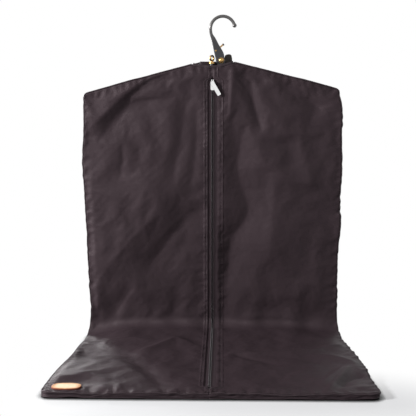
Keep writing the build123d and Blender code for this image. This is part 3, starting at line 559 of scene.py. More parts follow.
def front_limits(x, run):
    """Lowest and highest offset: clear of the back, of the hanger inside and of the zip's pull in front."""
    bulge, hollow, at_hanger, pull_needs = 13 * mm, 9 * mm, 3 * mm, 9.3 * mm
    hanging = np.clip((run - 0.4) / 0.05, 0, 1)
    depth = np.clip(hem_depth + (fold_depth - hem_depth) * run / fold_run, 0, fold_depth)
    low = -(0.5 * depth - 1.5 * mm) * (1 - hanging) - hollow * hanging
    behind = np.clip((run - front_rise - 0.54) / 0.02, 0, 1) * (np.abs(x - hanger_x) < hanger_reach)
    pull_room = np.clip((60 * mm - np.abs(x - zip_x)) / (24 * mm), 0, 1) * hanging
    return low * (1 - behind) - at_hanger * behind, bulge - pull_needs * pull_room


def off_patch(x, run):
    """Distance from the leather patch, nought under it, where the cloth stays flat."""
    return np.hypot(np.clip(np.abs(x - patch_middle[0]) - patch_size[0] / 2, 0, None),
                    np.clip(np.abs(run + hem_y - patch_middle[1]) - patch_size[1] / 2, 0, None))


# Each net: its step in millimetres and its rounds of settling.
net_steps = ((12, 120), (6, 120), (3.2, 80))


def front_net(side, rows, columns, step):
    """Net of one front panel, as drape asks for it."""
    seed = 3 if side == "left" else 7
    x, run = front_grid(side, rows, columns)
    stop = run[-1:]
    place, facing = front_path(run)
    place[..., 1] -= flatness(x, run)
    normal = over_bag(0 * x, facing)
    at_side, at_zip, at_hem, at_top = edge_shares(x, run, stop)
    to_seam, to_zip, to_patch = np.abs(x - x[:, :1]), np.abs(x - x[:, -1:]), off_patch(x, run)
    edge = np.minimum.reduce([run / 0.025, (stop - run) / 0.022, to_seam / 0.018, to_zip / 0.012])
    ease = smooth(edge) * np.clip(to_patch / (25 * mm), 0, 1)
    bump = front_bumps(side, seed, x, run, to_seam, to_zip, stop - run)
    waver = seam_wave(x, run, 40)
    drawn = np.clip(at_side + at_hem + at_top, 0, 1)
    low, high = front_limits(x, run)
    out = np.clip(bump * ease, low, high) + waver * drawn
    scallop = np.clip(run / (4 * mm), 0, 1) * np.clip((x + 235 * mm) / (20 * mm), 0, 1)
    out = out + 0.9 * mm * pucker(run, x, 12 * mm, 14 * mm, seed + 8) * scallop
    shape = over_bag(spread(x, run, front_rise) + waver * at_side, place) + normal * out[..., None]
    growth = 1.0018 + 0.001 * ripple(x, run, 0.2, seed + 20) + 0.006 * np.maximum(drawn, at_zip)
    growth = 1 + (growth + 0.008 * at_hem - 1) * np.clip(to_patch / (10 * mm), 0, 1)
    size, wave, draw = (0.5, 0.05, seed + 1) if step == net_steps[0][0] else (0.12, 0.004 * step, seed + int(step))
    nudge = normal * (size * mm * ripple(x, run, wave, draw))[..., None]
    return np.stack([x, run], -1), shape, normal, growth, low - out, high - out, nudge


panels = {side: drape(1020, 285, net_steps, 3 * mm, partial(front_net, side)) for side in sides}
for side, (points, flat, normal) in panels.items():
    print("front panel", side, points.shape, "deepest", round(float(points[..., 1].max()), 3))

# %% Front panels
def soft_piece(piece, nodes, material):
    """Makes a soft piece stand for its solid nodes and gives it its material."""
    if nodes:
        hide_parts(*nodes)
    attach(piece, "bag")
    dressed.append((piece, material))


def sewn(name, points, flat, flip, nodes, thick, material="nylon"):
    """Piece of cloth from its flat coordinates, which become its UV map; thick, if given, adds a wall of that
    thickness inwards.

    Bands under a centimetre wide are too narrow to count as sheets.
    """
    piece = surface(name, points, flat=flat, flip=flip)
    soft_piece(piece, nodes, material)
    if thick:
        wall = piece.modifiers.new("thickness", "SOLIDIFY")
        wall.thickness = thick
        wall.offset = -1


dressed = []
for side, (points, flat, normal) in panels.items():
    sewn(f"nylon_front_{side}", points, flat, side == "right", [f"front_panel_{side}"], 0.5 * mm)


# %% [markdown]
# ## Back panel
# The back is one sheet. It hangs almost smooth, bends under at the floor and lies flat there, so it may not bulge
# downwards.

# %% Back panel
back_folds = (
    (((-190, 590), (-120, 480), (-60, 300), (-45, 220)), -8, 30, 50, 1.6),
    (((215, 585), (130, 430), (92, 290), (88, 200)), -8, 26, 46, 1.5),
    (((-262, 500), (-180, 350), (-200, 190), (-215, 130)), 6, 40, 60, 1.8),
    (((262, 380), (170, 230), (90, 170)), 6, 24, 50, 1.6),
    (((20, 560), (30, 420), (24, 330)), 6, 30, 34, 1.8),
    (((-150, 200), (-30, 140), (80, 100)), -6, 18, 30, 1.3),
    (((-280, 85), (-150, 70), (-60, 72)), -4, 12, 20, 1.3),
    (((80, 90), (180, 72), (280, 76)), -4, 12, 18, 1.3),
)


def back_net(rows, columns, step):
    """Net of the back sheet, over its whole width, as drape asks for it."""
    share = np.linspace(-1, 1, columns)[None, :]
    share = np.sign(share) * (1 - (1 - np.abs(share)) * (1 - 0.9 * np.exp(-(1 - np.abs(share)) / 0.03)))
    x = (half_width - seam_inset) * share + np.zeros((rows, 1))
    up = np.linspace(0, 1, rows)[:, None]
    start = hem_run(x, seam_inset)
    stop = top_height(x, 0, seam_inset) + back_rise
    run = start + (stop - start) * up
    place, facing = back_path(run)
    normal = -over_bag(0 * x, facing)
    at_side, _, at_hem, at_top = edge_shares(x, run, stop)
    edge = np.minimum.reduce([run / 0.05, (stop - run) / 0.04, (half_width - np.abs(x)) / 0.03])
    bump = 1.8 * mm * ripple(x, run, 0.22, 50)
    for fold in back_folds:
        bump = bump + press(x, run - back_rise, *fold)
    waver = seam_wave(x, run, 60)
    drawn = np.clip(at_side + at_hem + at_top, 0, 1)
    bulge, hollow, lying_hollow, at_hanger = 6 * mm, 7 * mm, 3 * mm, 2.5 * mm
    rising = np.clip((run - 0.44) / 0.06, 0, 1)
    high = bulge * rising
    low = -lying_hollow * (1 - rising) - hollow * rising
    behind = np.clip((run - 0.96) / 0.03, 0, 1) * (np.abs(x - hanger_x) < hanger_reach)
    low = low * (1 - behind) - at_hanger * behind
    out = np.clip(bump * np.clip(edge, 0, 1) ** 2 + waver * drawn, low, high)
    shape = over_bag(spread(x, run, back_rise) + waver * at_side, place) + normal * out[..., None]
    growth = 1.003 + 0.0015 * ripple(x, run, 0.2, 70) + 0.006 * drawn
    nudge = 0.0
    if step == back_steps[0][0]:
        nudge = normal * (0.5 * mm * ripple(x, run, 0.05, 51))[..., None] * rising[..., None]
    return np.stack([x, run], -1), shape, normal, growth, low - out, high - out, nudge


back_steps = ((12, 120), (6, 120), (3.6, 70))
back, back_flat, back_normal = drape(1060, 593, back_steps, 4 * mm, back_net)
sewn("nylon_back", back, back_flat, True, ["back_panel"], 0.5 * mm)
print("back panel", back.shape, "lowest", round(float(back[..., 2].min()), 4))


# %% [markdown]
# ## Seams: piping and gusset
# The panels end at a covered cord, the piping, and a narrow strip, the gusset, joins the front piping to the back
# one. Both follow the edges that the nets ended with, so they waver exactly as the cloth does.

# %% Edges of the panels
def rim(points, normal, sign):
    """Path round a half panel from the middle of the hem, up the side and along the shoulder.

    Returns the points, the cloth's outward normal and the direction out of the panel's edge.
    """
    path, face = (np.concatenate([grid[0, :0:-1], grid[:-1, 0], grid[-1]]) for grid in (points, normal))
    longer = np.concatenate([path[:1], path, path[-1:]])
    along = unit(longer[2:] - longer[:-2])
    return path, face, unit(np.cross(face, along) * sign)


def cut_at(rim_parts, first, last):
    """The stretch of a rim between two point numbers."""
    return [part[first:last] for part in rim_parts]


rims = {"front": {}, "back": {}}
middle = back.shape[1] // 2
past = middle - 1 + back.shape[1] % 2
half_backs = {"left": (back[:, : middle + 1], back_normal[:, : middle + 1]),
              "right": (back[:, :past:-1], back_normal[:, :past:-1])}
for side, sign in (("left", 1), ("right", -1)):
    points, _, normal = panels[side]
    rims["front"][side] = (rim(points, normal, sign), points.shape)
    points, normal = half_backs[side]
    rims["back"][side] = (rim(points, normal, -sign), points.shape)


# %% Piping
neck_side = {"front": {"left": -neck_mouth, "right": neck_right}, "back": {"left": -neck_left, "right": neck_right}}
for name in rims:
    for side in sides:
        (path, face, away), shape = rims[name][side]
        outside = np.abs(path[:, 0]) > neck_side[name][side]
        top_row = np.arange(len(path)) > shape[1] + shape[0] - 2
        line = path + away * (seam_inset / 2) - face * (seam_inset / 2)
        line = resample(line[~top_row | outside], 3 * mm)
        line[:, 2] = np.maximum(line[:, 2], 1.75 * mm)
        soft_piece(tube(f"nylon_piping_{name}_{side}", line, 1.7 * mm, (0.31, -0.9, 0.3)),
                   [f"{name}_piping_{side}"], "piping")


# %% Gusset
def strip(name, near, far, nodes, seed, flip):
    """Cloth between two edges given as (path, normal, away): pulled in a little and puckered by its threads."""
    size = max(int(length_along(near[0])[-1] / (3 * mm)), 8)
    edges = []
    for path, face, away in (near, far):
        seam = path + away * (seam_inset - 0.9 * mm) - face * (seam_inset - 0.5 * mm)
        run = length_along(seam)
        edges.append(read_at(np.linspace(0, 1, size), run / run[-1], np.concatenate([seam, away], 1))[:, None])
    share = np.linspace(0, 1, 7)[:, None]
    both = edges[0] * (1 - share) + edges[1] * share
    points, away = both[..., :3], unit(both[..., 3:])
    share = np.broadcast_to(share[:, 0], (size, 7))
    run = np.broadcast_to(np.linspace(0, size * 3 * mm, size)[:, None], share.shape)
    wide = ripple(run, run * 0, 0.07, seed) * 0.5 * mm
    fine = ripple(run, share * 6 * mm, 0.014, seed + 1) * 0.3 * mm
    bow = np.sin(math.pi * share)
    points = points + away * ((wide + fine) * bow - 0.4 * mm * bow)[..., None]
    points[..., 2] = np.maximum(points[..., 2], 0.3 * mm)
    width = np.linalg.norm(np.diff(points, axis=1), axis=-1).sum(1).mean()
    sewn(name, points, np.stack([share * width, run], -1), flip, nodes, 0.4 * mm)


hem = ([], [])
for side in sides:
    (front_parts, front_shape), (back_parts, back_shape) = rims["front"][side], rims["back"][side]
    flip = side == "right"
    near, far = front_shape[1] - 1, back_shape[1] - 1
    hem[0].append(cut_at(front_parts, 0, near + 6))
    hem[1].append(cut_at(back_parts, 0, far + 5))
    up_near, up_far = near + front_shape[0] - 1, far + back_shape[0] - 1
    strip(f"nylon_side_{side}", cut_at(front_parts, near + 5, up_near + 1), cut_at(back_parts, far + 4, up_far + 1),
          [f"side_gusset_{side}"], 80, flip)
    edge = neck_side["front"][side]
    stop_near = up_near + int((np.abs(front_parts[0][up_near:, 0]) > edge).sum())
    stop_far = up_far + int((np.abs(back_parts[0][up_far:, 0]) > edge).sum())
    strip(f"nylon_shoulder_{side}", cut_at(front_parts, up_near, stop_near), cut_at(back_parts, up_far, stop_far),
          [f"shoulder_gusset_{side}"], 84, flip)
hem_edges = [[np.concatenate([left[::-1], right]) for left, right in zip(*parts)] for parts in hem]
strip("nylon_hem", hem_edges[0], hem_edges[1], ["bottom_gusset"], 90, True)


# %% [markdown]
# ## Neck
# The open neck is bound with a woven tape, folded over the cut edge. A short loop of webbing is sewn inside it.

# %% Neck binding
def band(name, path, face, away, half_tall, half_deep, nodes, material, square=0.6):
    """Flat tape folded over an edge: an oval carried along it, more nearly a box the lower square is."""
    along = unit(np.gradient(path, axis=0))
    turn = np.linspace(0, 2 * math.pi, 14, endpoint=False)
    tall = np.sign(np.cos(turn)) * np.abs(np.cos(turn)) ** square * half_tall
    deep = np.sign(np.sin(turn)) * np.abs(np.sin(turn)) ** square * half_deep
    points = path[:, None] + away[:, None] * tall[None, :, None] + face[:, None] * deep[None, :, None]
    flip = (np.cross(away, face) * along).sum() < 0
    soft_piece(surface(name, points, closed=True, flip=flip), nodes, material)


# Each binding, in millimetres: how far in and how far up it sits, and half its height.
for name, inwards, raised, tall in (("front", 0.9, 1.4, 3.4), ("back", 1.1, -1.1, 5.9)):
    halves = []
    for side in sides:
        path, face, away = rims[name][side][0]
        inside = (np.abs(path[:, 0]) < neck_side[name][side] + 2 * mm) & (path[:, 2] > 0.5)
        part = [path[inside], face[inside], away[inside]]
        halves.append(part if side == "left" else [p[::-1] for p in part])
    path, face, away = (np.concatenate([a, b[1:]]) for a, b in zip(*halves))
    away = np.broadcast_to([0.0, 0, 1], away.shape)
    band(f"neck_tape_{name}", path + away * raised * mm - face * inwards * mm, face, away, tall * mm, 1.5 * mm,
         [f"neck_binding_{name}"], "webbing")

tab_low, tab_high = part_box("neck_tab")
across = np.linspace(0, 1, 13)
tab = np.stack([tab_low.x - 1 * mm + (tab_high.x - tab_low.x + 2 * mm) * across,
                (tab_low.y + tab_high.y) / 2 + 0.25 * mm * np.sin(7 * across),
                (tab_low.z + tab_high.z) / 2 - 0.5 * mm * np.cos(5 * across)], -1)
tall = (tab_high.z - tab_low.z) / 2 - mm
crown = np.sqrt(1 - np.abs(2 * across - 1) ** 4)
tab[:, 2] += (crown - 1) * tall * 0.35 + 2.5 * mm
upright = np.array([0, 0, 1.0]) * (0.65 + 0.35 * crown)[:, None]
band("neck_loop", tab, np.broadcast_to([0, -1.0, 0], tab.shape), upright, tall, 0.6 * mm, ["neck_tab"],
     "pale_webbing", 0.35)


# %% [markdown]
# ## Zip
# The zip has two tapes behind the edges of the front panels. Each edge is turned back and stitched down, which
# leaves a raised lip and a groove where the thread draws the layers together. Above the zip the two lips meet in
# a seam. The coils are made of small loops.

# %% Tapes
def on_front(x, run, lift):
    """Points on the undisturbed front of the bag, a lift outwards."""
    place, facing = front_path(run)
    return over_bag(x, place + facing * np.asarray(lift)[..., None])


tape_top, coil_top = 603 * mm + front_rise, 595 * mm + front_rise
tape_runs = np.arange(zip_end - hem_y - 4 * mm, tape_top, 2.5 * mm)
for side in sides:
    low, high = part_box(f"zip_tape_{side}")
    inner, outer = (high.x, low.x) if side == "left" else (low.x, high.x)
    share = np.linspace(0, 1, 6)[None, :]
    run = tape_runs[:, None] + 0 * share
    x = inner + (outer - inner) * share + 0 * run
    lift = -1.2 * mm + 0.15 * mm * ripple(x, run, 0.02, 31) * share
    sewn(f"tape_{side}", on_front(x, run, lift), np.stack([x, run], -1), side == "left", [f"zip_tape_{side}"],
         0.5 * mm, "zip_tape")

# %% Turned edges
# Each lip's section: the distance from the zip's edge and the height, in millimetres.
lips = {"left": ((0, 0.75), (0.9, 0.95), (1.8, 0.35), (3.2, 0.15), (4.8, 0.3), (6.2, 0.75), (7.6, 0.7), (9, 0.1)),
        "right": ((0, 0.75), (1.2, 1.0), (4.6, 0.95), (6.2, 0.7), (7.4, 0.2), (9, 0.15), (10.6, 0.3), (12, 0.7),
                  (13.2, 0.6), (14.4, 0.1))}
groove = {"left": 3.3 * mm, "right": 9 * mm}
lip_rows = 560


def beside_zip(side, gaps):
    """Points of a front panel at the given gaps from its zip edge, with the outward normal, over finer rows."""
    points, flat, normal = (grid[:, :-13:-1] for grid in panels[side])
    gap = np.abs(flat[..., 0] - flat[:, :1, 0])
    rows = zip(gap, np.concatenate([points, flat, normal], -1))
    found = finer(np.stack([read_at(gaps, gap_row, row) for gap_row, row in rows]), lip_rows, len(gaps))
    return found[..., :3], found[..., 3:5], unit(found[..., 5:])


for side in sides:
    gaps, heights = np.array(lips[side]).T * mm
    points, flat, normal = beside_zip(side, gaps)
    near = np.exp(-np.abs(gaps - groove[side]) / (3 * mm))
    drawn = 0.22 * mm * ripple(flat[..., 1], gaps[None, :] * 0.5 + 0 * flat[..., 1], 0.008, 33) * near
    swell = 0.15 * mm * ripple(flat[..., 1], gaps + 0 * flat[..., 1], 0.03, 34) * (heights > 0.3 * mm)
    joined = (1 - zip_edge(flat[..., 1]) / opening) * np.exp(-gaps / (1.3 * mm))
    points = points + normal * np.maximum((heights + drawn + swell) * (1 - joined), 0.02 * mm)[..., None]
    sewn(f"edge_{side}", points, flat, side == "left", [], 0)


# %% Stitches
def stitches(name, path, normal, length, gap, thick, lift, nodes, material):
    """Row of stitches along a path, all in one mesh: each is a short arched thread with both ends in the cloth."""
    run = length_along(path)
    starts = np.arange(0, run[-1] - length, length + gap)
    at = starts[:, None] + np.array([0, 0.12, 0.5, 0.88, 1]) * length
    line = read_at(at, run, path)
    up = unit(read_at(at, run, normal))
    line = line + up * (np.array([-0.6, 0.5, 1, 0.5, -0.6]) * lift)[None, :, None]
    along = unit(line[:, -1:] - line[:, :1]) + 0 * up
    side = unit(np.cross(along, up))
    made = short_tubes(name, line, side, np.cross(side, along), np.full(5, thick / 2), True)
    soft_piece(made, nodes, material)


for side in sides:
    points, _, normal = beside_zip(side, np.array([groove[side]]).repeat(2))
    stitches(f"edge_stitches_{side}", points[:, 0] + normal[:, 0] * 0.25 * mm, normal[:, 0], 2.3 * mm, 0.7 * mm,
             0.45 * mm, 0.3 * mm, [], "dark_thread")


# %% Coils
def coil(name, sign, first, last, nodes):
    """Row of teeth: each is a loop that comes from the tape, turns round at the middle and goes back.

    The loop's points are the distance from the zip's middle and the lift off the cloth.
    """
    pitch = 1.6 * mm
    loop = np.array([(2.9, -0.9), (1.7, -0.9), (1.05, -0.55), (0.85, 0.1), (1.05, 0.8), (1.7, 1.15), (2.9, 1.15)]) * mm
    thick = np.array([0.24, 0.34, 0.4, 0.42, 0.4, 0.34, 0.24]) * mm
    runs = np.arange(first, last, pitch) + (pitch / 2 if sign > 0 else 0)
    lean = np.linspace(-0.3, 0.3, 7) * mm
    run = runs[:, None] + lean
    centre, ahead = (on_front(zip_x + sign * loop[:, 0], run + step, loop[:, 1] - 0.3 * mm + 0 * run)
                     for step in (0, 0.1 * mm))
    tangent = unit(np.gradient(centre, axis=1))
    side = unit(ahead - centre)
    over = unit(np.cross(tangent, side))
    soft_piece(short_tubes(name, centre, np.cross(over, tangent), over, thick, False), nodes, "coil")


for side, sign in (("left", -1), ("right", 1)):
    coil(f"coil_{side}", sign, zip_end - hem_y + 1.5 * mm, coil_top, [f"zip_coil_{side}"])
print("zip", round(float(coil_top - zip_end + hem_y), 3), "m long")


# %% [markdown]
# ## Leather patch
# The patch is a rounded piece of leather with a thick soft edge, sewn down near the left end of the hem. It was
# left bare.

# %% Patch
corner_power = 2.8
stitch_ring = 0.86


def oval(share, around):
    """Point of the patch's outline, shrunk towards its middle by share: |x/a|^2.8 + |y/b|^2.8 = share^2.8."""
    x, y = (np.sign(wave) * np.abs(wave) ** (2 / corner_power) * (size / 2)
            for wave, size in zip((np.cos(around), np.sin(around)), patch_size))
    return patch_middle[0] + x * share, patch_middle[1] + y * share


def patch_base(y):
    """Height of the cloth under the patch."""
    return on_front(0 * y, y - hem_y, 0 * y)[..., 2]


rings = np.array([0.06, 0.3, 0.55, 0.72, 0.82, stitch_ring, 0.9, 0.94, 0.975, 0.995, 1.0, 0.995])
lifts = np.array([2.75, 2.75, 2.75, 2.8, 2.72, 2.62, 2.75, 2.8, 2.6, 2.2, 1.2, 0.15]) * mm
around = np.linspace(0, 2 * math.pi, 96, endpoint=False)
x, y = oval(rings[:, None], around[None, :])
z = patch_base(y) + lifts[:, None] + 0.08 * mm * ripple(x, y, 0.012, 21)
leather = surface("patch", np.stack([x, y, z], -1), closed=True, flip=True)
border = leather.data.attributes.new("border", "FLOAT", "POINT")
border.data.foreach_set("value", np.repeat(rings, len(around)).astype(np.float32))
soft_piece(leather, ["leather_patch"], "leather")
x, y = oval(stitch_ring, np.linspace(0, 2 * math.pi, 400))
seam_line = np.stack([x, y, patch_base(y) + 2.72 * mm], -1)
stitches("patch_stitches", seam_line, np.broadcast_to([0, 0, 1.0], seam_line.shape), 2.4 * mm, 0.9 * mm, 0.6 * mm,
         0.3 * mm, ["patch_thread"], "thread")

# %% [markdown]
# ## Floor, background and light
# The bag stands on a plain pale floor in an empty white room. What the camera, a mirror or a lens sees directly is
# made white in the shader, so that the lamps can stay at a plain level. The floor keeps the soft shadow.

# %% Floor, light
def wire(tree, sockets, given):
    """Gives each socket its value, or links it to another node's output."""
    for socket, value in zip(sockets, given):
        if isinstance(value, bpy.types.NodeSocket):
            tree.links.new(value, socket)
        else:
            socket.default_value = (*value, 1) if socket.type == "RGBA" else value


def node(tree, kind, *inputs, operation=None, **named):
    """New shader node with its inputs, in order or by name."""
    made = tree.nodes.new(kind)
    if operation:
        made.operation = operation
    wire(tree, made.inputs, inputs)
    wire(tree, [made.inputs[name] for name in named], named.values())
    return made


def blend(tree, fac, low, high, socket=None):
    """Colour or value between low and high by fac, into a socket."""
    made = tree.nodes.new("ShaderNodeMix")
    made.data_type = "FLOAT" if isinstance(low, float) else "RGBA"
    wire(tree, [s for s in made.inputs if s.enabled], (fac, low, high))
    result = next(s for s in made.outputs if s.enabled)
    if socket:
        tree.links.new(result, socket)
    return result


def plain(name, colour, rough, metallic=0.0, specular=0.5):
    """New principled material; returns it with its node tree and shader."""
    made = bpy.data.materials.new(name)
    made.use_nodes = True
    tree = made.node_tree
    shader = tree.nodes["Principled BSDF"]
    names = ("Base Color", "Roughness", "Metallic", "Specular IOR Level")
    wire(tree, [shader.inputs[name] for name in names], (colour, rough, metallic, specular))
    return made, tree, shader


def own_place(tree):
    """Object coordinates, in metres."""
    return tree.nodes.new("ShaderNodeTexCoord").outputs["Object"]


def maths(tree, operation, *inputs, kind="Math"):
    """Result of a new Math or VectorMath node."""
    return node(tree, f"ShaderNode{kind}", *inputs, operation=operation).outputs[0]


def ramp(tree, value, low, high, first=0.0, last=1.0):
    """New node that turns low to high into first to last."""
    return node(tree, "ShaderNodeMapRange", value, low, high, first, last)


def seen(material, shader, share):
    """Mixes plain white into what the camera, reflections and lenses see of a material."""
    tree = material.node_tree
    rays = tree.nodes.new("ShaderNodeLightPath").outputs
    direct = maths(tree, "MAXIMUM", rays["Is Camera Ray"], rays["Is Glossy Ray"])
    direct = maths(tree, "MAXIMUM", direct, rays["Is Transmission Ray"])
    white = tree.nodes.new("ShaderNodeEmission").outputs[0]
    mixed = node(tree, "ShaderNodeMixShader", maths(tree, "MULTIPLY", direct, share), shader.outputs[0], white)
    output = next(n for n in tree.nodes if n.type in ("OUTPUT_MATERIAL", "OUTPUT_WORLD"))
    tree.links.new(mixed.outputs[0], output.inputs["Surface"])


def floor_finish():
    """Pale floor that turns plain white away from the bag, with painted shade in the narrow gap right beside it."""
    middle, half_long, reach, least = (0.08, hem_y - 0.01, 0.0), (0.24, 0.0, 0.0), 0.2, 0.36
    contact_gap, contact_power = 0.013, 5.0
    made, tree, shader = plain("floor", (0.8, 0.8, 0.8), 0.5)
    rays = tree.nodes.new("ShaderNodeLightPath")
    pale = blend(tree, rays.outputs["Is Camera Ray"], (0.24, 0.24, 0.25), (0.60, 0.605, 0.625))
    place = own_place(tree)
    for operation, value in (("SUBTRACT", middle), ("ABSOLUTE", (0.0, 0.0, 0.0)), ("SUBTRACT", half_long),
                             ("MAXIMUM", (0.0, 0.0, 0.0))):
        place = maths(tree, operation, place, value, kind="VectorMath")
    away = node(tree, "ShaderNodeVectorMath", place, operation="LENGTH")
    share = ramp(tree, away.outputs["Value"], 0.0, reach, least)
    share.interpolation_type = "SMOOTHSTEP"
    # Painted shade: an ambient-occlusion darkening multiplied into the floor's colour and its white share, dark right
    # beside the bag.
    contact = node(tree, "ShaderNodeAmbientOcclusion", Distance=contact_gap)
    painted_contact_shade = maths(tree, "POWER", contact.outputs["AO"], contact_power)
    pale_with_painted_shade = node(tree, "ShaderNodeVectorMath", pale, operation="SCALE", Scale=painted_contact_shade)
    tree.links.new(pale_with_painted_shade.outputs[0], shader.inputs["Base Color"])
    seen(made, shader, maths(tree, "MULTIPLY", share.outputs[0], painted_contact_shade))
    return made


floor = surface("floor", np.array([[[-4.0, -4, 0], [4, -4, 0]], [[-4, 6, 0], [4, 6, 0]]]))
floor.data.materials.append(floor_finish())
world = bpy.data.worlds.new("world")
bpy.context.scene.world = world
world.use_nodes = True
sky = world.node_tree.nodes["Background"]
sky.inputs["Color"].default_value = (1, 1, 1, 1)
sky.inputs["Strength"].default_value = 0.2
seen(world, sky, 1.0)
bpy.context.scene.view_settings.view_transform = "Standard"


def lamp(name, place, aim, size, power):
    """Area lamp at place, turned to face aim."""
    light = bpy.data.lights.new(name, "AREA")
    light.size = size
    light.energy = power
    made = bpy.data.objects.new(name, light)
    bpy.context.scene.collection.objects.link(made)
    away = np.array(place, float) - np.array(aim, float)
    made.location = place
    made.rotation_euler = (math.acos(away[2] / np.linalg.norm(away)), 0, math.atan2(away[1], away[0]) + math.pi / 2)


lamp("key", (-2.62, -0.92, 1.32), (0, 0.1, 0.35), 0.45, 190)
lamp("fill", (1.6, -1.8, 1.2), (0, 0.1, 0.3), 1.2, 6)
lamp("window", (-1.75, 2.9, 1.25), (-0.2, 0, 0), 0.6, 44)

# %% [markdown]
# ## Finishes
# The nylon's weave and crinkles are read from the cloth's own flat coordinates, in metres, so that they follow
# every fold. Threads, metal, plastic and leather are small or carved, and read plain object coordinates.

# %% Shader helpers
def noise(tree, place, scale, detail=2.0, stretch=(1.0, 1.0, 1.0)):
    """Noise of about 1 / scale metres, finer along an axis that is stretched."""
    place = maths(tree, "MULTIPLY", place, stretch, kind="VectorMath")
    return node(tree, "ShaderNodeTexNoise", place, Scale=scale, Detail=detail).outputs["Fac"]


def threads(tree, place, pitch):
    """Plain weave: the higher of two sets of threads, a pitch apart, crossing each other."""
    sets = []
    for axis in ("X", "Y"):
        wave = node(tree, "ShaderNodeTexWave", place, Scale=math.pi / 10 / pitch, Distortion=0.6)
        wave.bands_direction = axis
        sets.append(wave.outputs["Fac"])
    return maths(tree, "MAXIMUM", *sets)


def bumps(tree, shader, layers):
    """Surface relief from layers of (height, distance), one bump node after another."""
    normal = None
    for height, distance in layers:
        bump = node(tree, "ShaderNodeBump", Distance=distance, Height=height)
        if normal:
            tree.links.new(normal, bump.inputs["Normal"])
        normal = bump.outputs["Normal"]
    tree.links.new(normal, shader.inputs["Normal"])


def shades(colour, spread):
    """A colour a little darker and a little lighter."""
    return [tuple(c * k for c in colour) for k in (1 - spread, 1 + spread)]


# %% Cloth materials
def cloth(name, colour, rough, specular, pitch, crinkle=0.0, own_flat=True):
    """Woven cloth: threads a pitch apart, crinkles, a soft change of tone, and painted shade between the threads."""
    made, tree, shader = plain(name, colour, rough, 0.0, specular)
    shader.inputs["Specular Tint"].default_value = (1.0, 0.84, 0.88, 1)
    if own_flat:
        source = tree.nodes.new("ShaderNodeUVMap")
        source.uv_map = "cloth"
        place = source.outputs["UV"]
    else:
        place = own_place(tree)
    weave = threads(tree, place, pitch)
    layers = [(weave, 0.12 * pitch)]
    if crinkle:
        layers.insert(0, (noise(tree, place, 55.0, 3.0, (1.0, 0.7, 1.0)), crinkle))
        layers.insert(1, (noise(tree, place, 240.0, 2.0), 0.12 * crinkle))
    bumps(tree, shader, layers)
    worn = noise(tree, place, 14.0, 3.0)
    tone = blend(tree, worn, *shades(colour, 0.09))
    # Painted shade: the colour is darker in the low places between the threads.
    darker = maths(tree, "MULTIPLY", tone, (0.72, 0.70, 0.71), kind="VectorMath")
    blend(tree, weave, darker, tone, shader.inputs["Base Color"])
    blend(tree, worn, rough - 0.04, rough + 0.06, shader.inputs["Roughness"])
    return made


def thread_of(name, colour):
    """Twisted thread: fine slanting strands, with painted shade in the grooves and painted light on the strands."""
    made, tree, shader = plain(name, colour, 0.65, 0.0, 0.3)
    wave = node(tree, "ShaderNodeTexWave", own_place(tree), Scale=math.pi / 10 / (0.5 * mm))
    wave.bands_direction = "DIAGONAL"
    bumps(tree, shader, [(wave.outputs["Fac"], 0.05 * mm)])
    # Painted shade and light: darker in the grooves between strands, lighter on their tops.
    blend(tree, wave.outputs["Fac"], *shades(colour, 0.25), shader.inputs["Base Color"])
    return made


# %% Hard materials
def hard(name, colour, rough, metallic, grain, stretch=(1.0, 1.0, 1.0), relief=0.004 * mm, painted_top_light=None):
    """Metal or plastic: faint scratches or moulding grain, with roughness and tone that change across it.

    The lighter colour, if given, is painted light: the finish turns to it higher up, as light falls brighter on the
    top.
    """
    made, tree, shader = plain(name, colour, rough, metallic)
    place = own_place(tree)
    fine = noise(tree, place, grain, 3.0, stretch)
    wide = noise(tree, place, 90.0, 2.0)
    bumps(tree, shader, [(fine, relief)])
    blend(tree, wide, max(rough - 0.06, 0.05), rough + 0.08, shader.inputs["Roughness"])
    tone = blend(tree, fine, *shades(colour, 0.10), shader.inputs["Base Color"])
    # Painted light: above about 0.7 m the finish turns to the lighter colour.
    if painted_top_light:
        height = node(tree, "ShaderNodeSeparateXYZ", place).outputs["Z"]
        painted_light_share = ramp(tree, height, 0.685, 0.715)
        blend(tree, painted_light_share.outputs[0], tone, painted_top_light, shader.inputs["Base Color"])
    return made


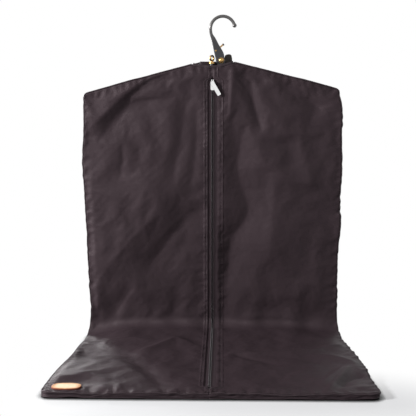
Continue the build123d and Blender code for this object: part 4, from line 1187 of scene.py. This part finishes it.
def leather_of(name):
    """Pale natural leather: pores and creases, a tan border, and edges painted dark."""
    made, tree, shader = plain(name, (0.78, 0.52, 0.34), 0.55, 0.0, 0.35)
    place = own_place(tree)
    rim = tree.nodes.new("ShaderNodeAttribute")
    rim.attribute_name = "border"
    pores = node(tree, "ShaderNodeTexVoronoi", place, Scale=900.0)
    mottle = noise(tree, place, 160.0, 4.0)
    bumps(tree, shader, [(mottle, 0.15 * mm), (pores.outputs["Distance"], 0.08 * mm)])
    face = blend(tree, mottle, (0.88, 0.66, 0.46), (0.72, 0.44, 0.27))
    to_tan = ramp(tree, maths(tree, "MULTIPLY_ADD", mottle, 0.12, rim.outputs["Fac"]), 0.70, 0.96)
    tan = blend(tree, to_tan.outputs[0], face, (0.52, 0.25, 0.11))
    to_dark = ramp(tree, rim.outputs["Fac"], 0.93, 0.965)
    blend(tree, to_dark.outputs[0], tan, (0.15, 0.03, 0.013), shader.inputs["Base Color"])
    return made


finishes = {
    "nylon": cloth("nylon", (0.031, 0.0215, 0.0252), 0.46, 0.12, 0.7 * mm, 0.3 * mm),
    "piping": cloth("piping", (0.030, 0.021, 0.0245), 0.5, 0.2, 0.8 * mm, 0.3 * mm, False),
    "webbing": cloth("webbing", (0.026, 0.019, 0.022), 0.7, 0.2, 1.2 * mm, 0.0, False),
    "pale_webbing": cloth("pale_webbing", (0.105, 0.093, 0.083), 0.75, 0.2, 1.2 * mm, 0.0, False),
    "zip_tape": cloth("zip_tape", (0.034, 0.024, 0.028), 0.7, 0.15, 0.9 * mm),
    "coil": hard("coil", (0.016, 0.012, 0.014), 0.42, 0.0, 2500.0, relief=0.01 * mm),
    "bright_metal": hard("bright_metal", (0.82, 0.82, 0.82), 0.2, 1.0, 1400.0, (1.0, 1.0, 0.08)),
    "leather": leather_of("leather"),
    "thread": thread_of("thread", (0.60, 0.42, 0.20)),
    "dark_thread": thread_of("dark_thread", (0.022, 0.016, 0.019)),
    "hanger": hard("hanger", (0.012, 0.012, 0.013), 0.42, 0.0, 3000.0, relief=0.02 * mm),
    # The gunmetal's lighter colour higher up is painted light.
    "gunmetal": hard("gunmetal", (0.045, 0.045, 0.048), 0.36, 0.7, 1600.0, (0.1, 1.0, 1.0),
                     painted_top_light=(0.10, 0.096, 0.095)),
    "brass": hard("brass", (0.40, 0.245, 0.09), 0.32, 1.0, 1400.0, (1.0, 0.1, 1.0)),
}
for piece, name in dressed:
    piece.data.materials.append(finishes[name])
slot_of = {part["node"]: part["material_slot"] for part in frame["record"]["subparts"]}
for name, solid in frame["nodes"].items():
    if not solid.hide_render:
        solid.data.materials.clear()
        solid.data.materials.append(finishes[slot_of[name]])
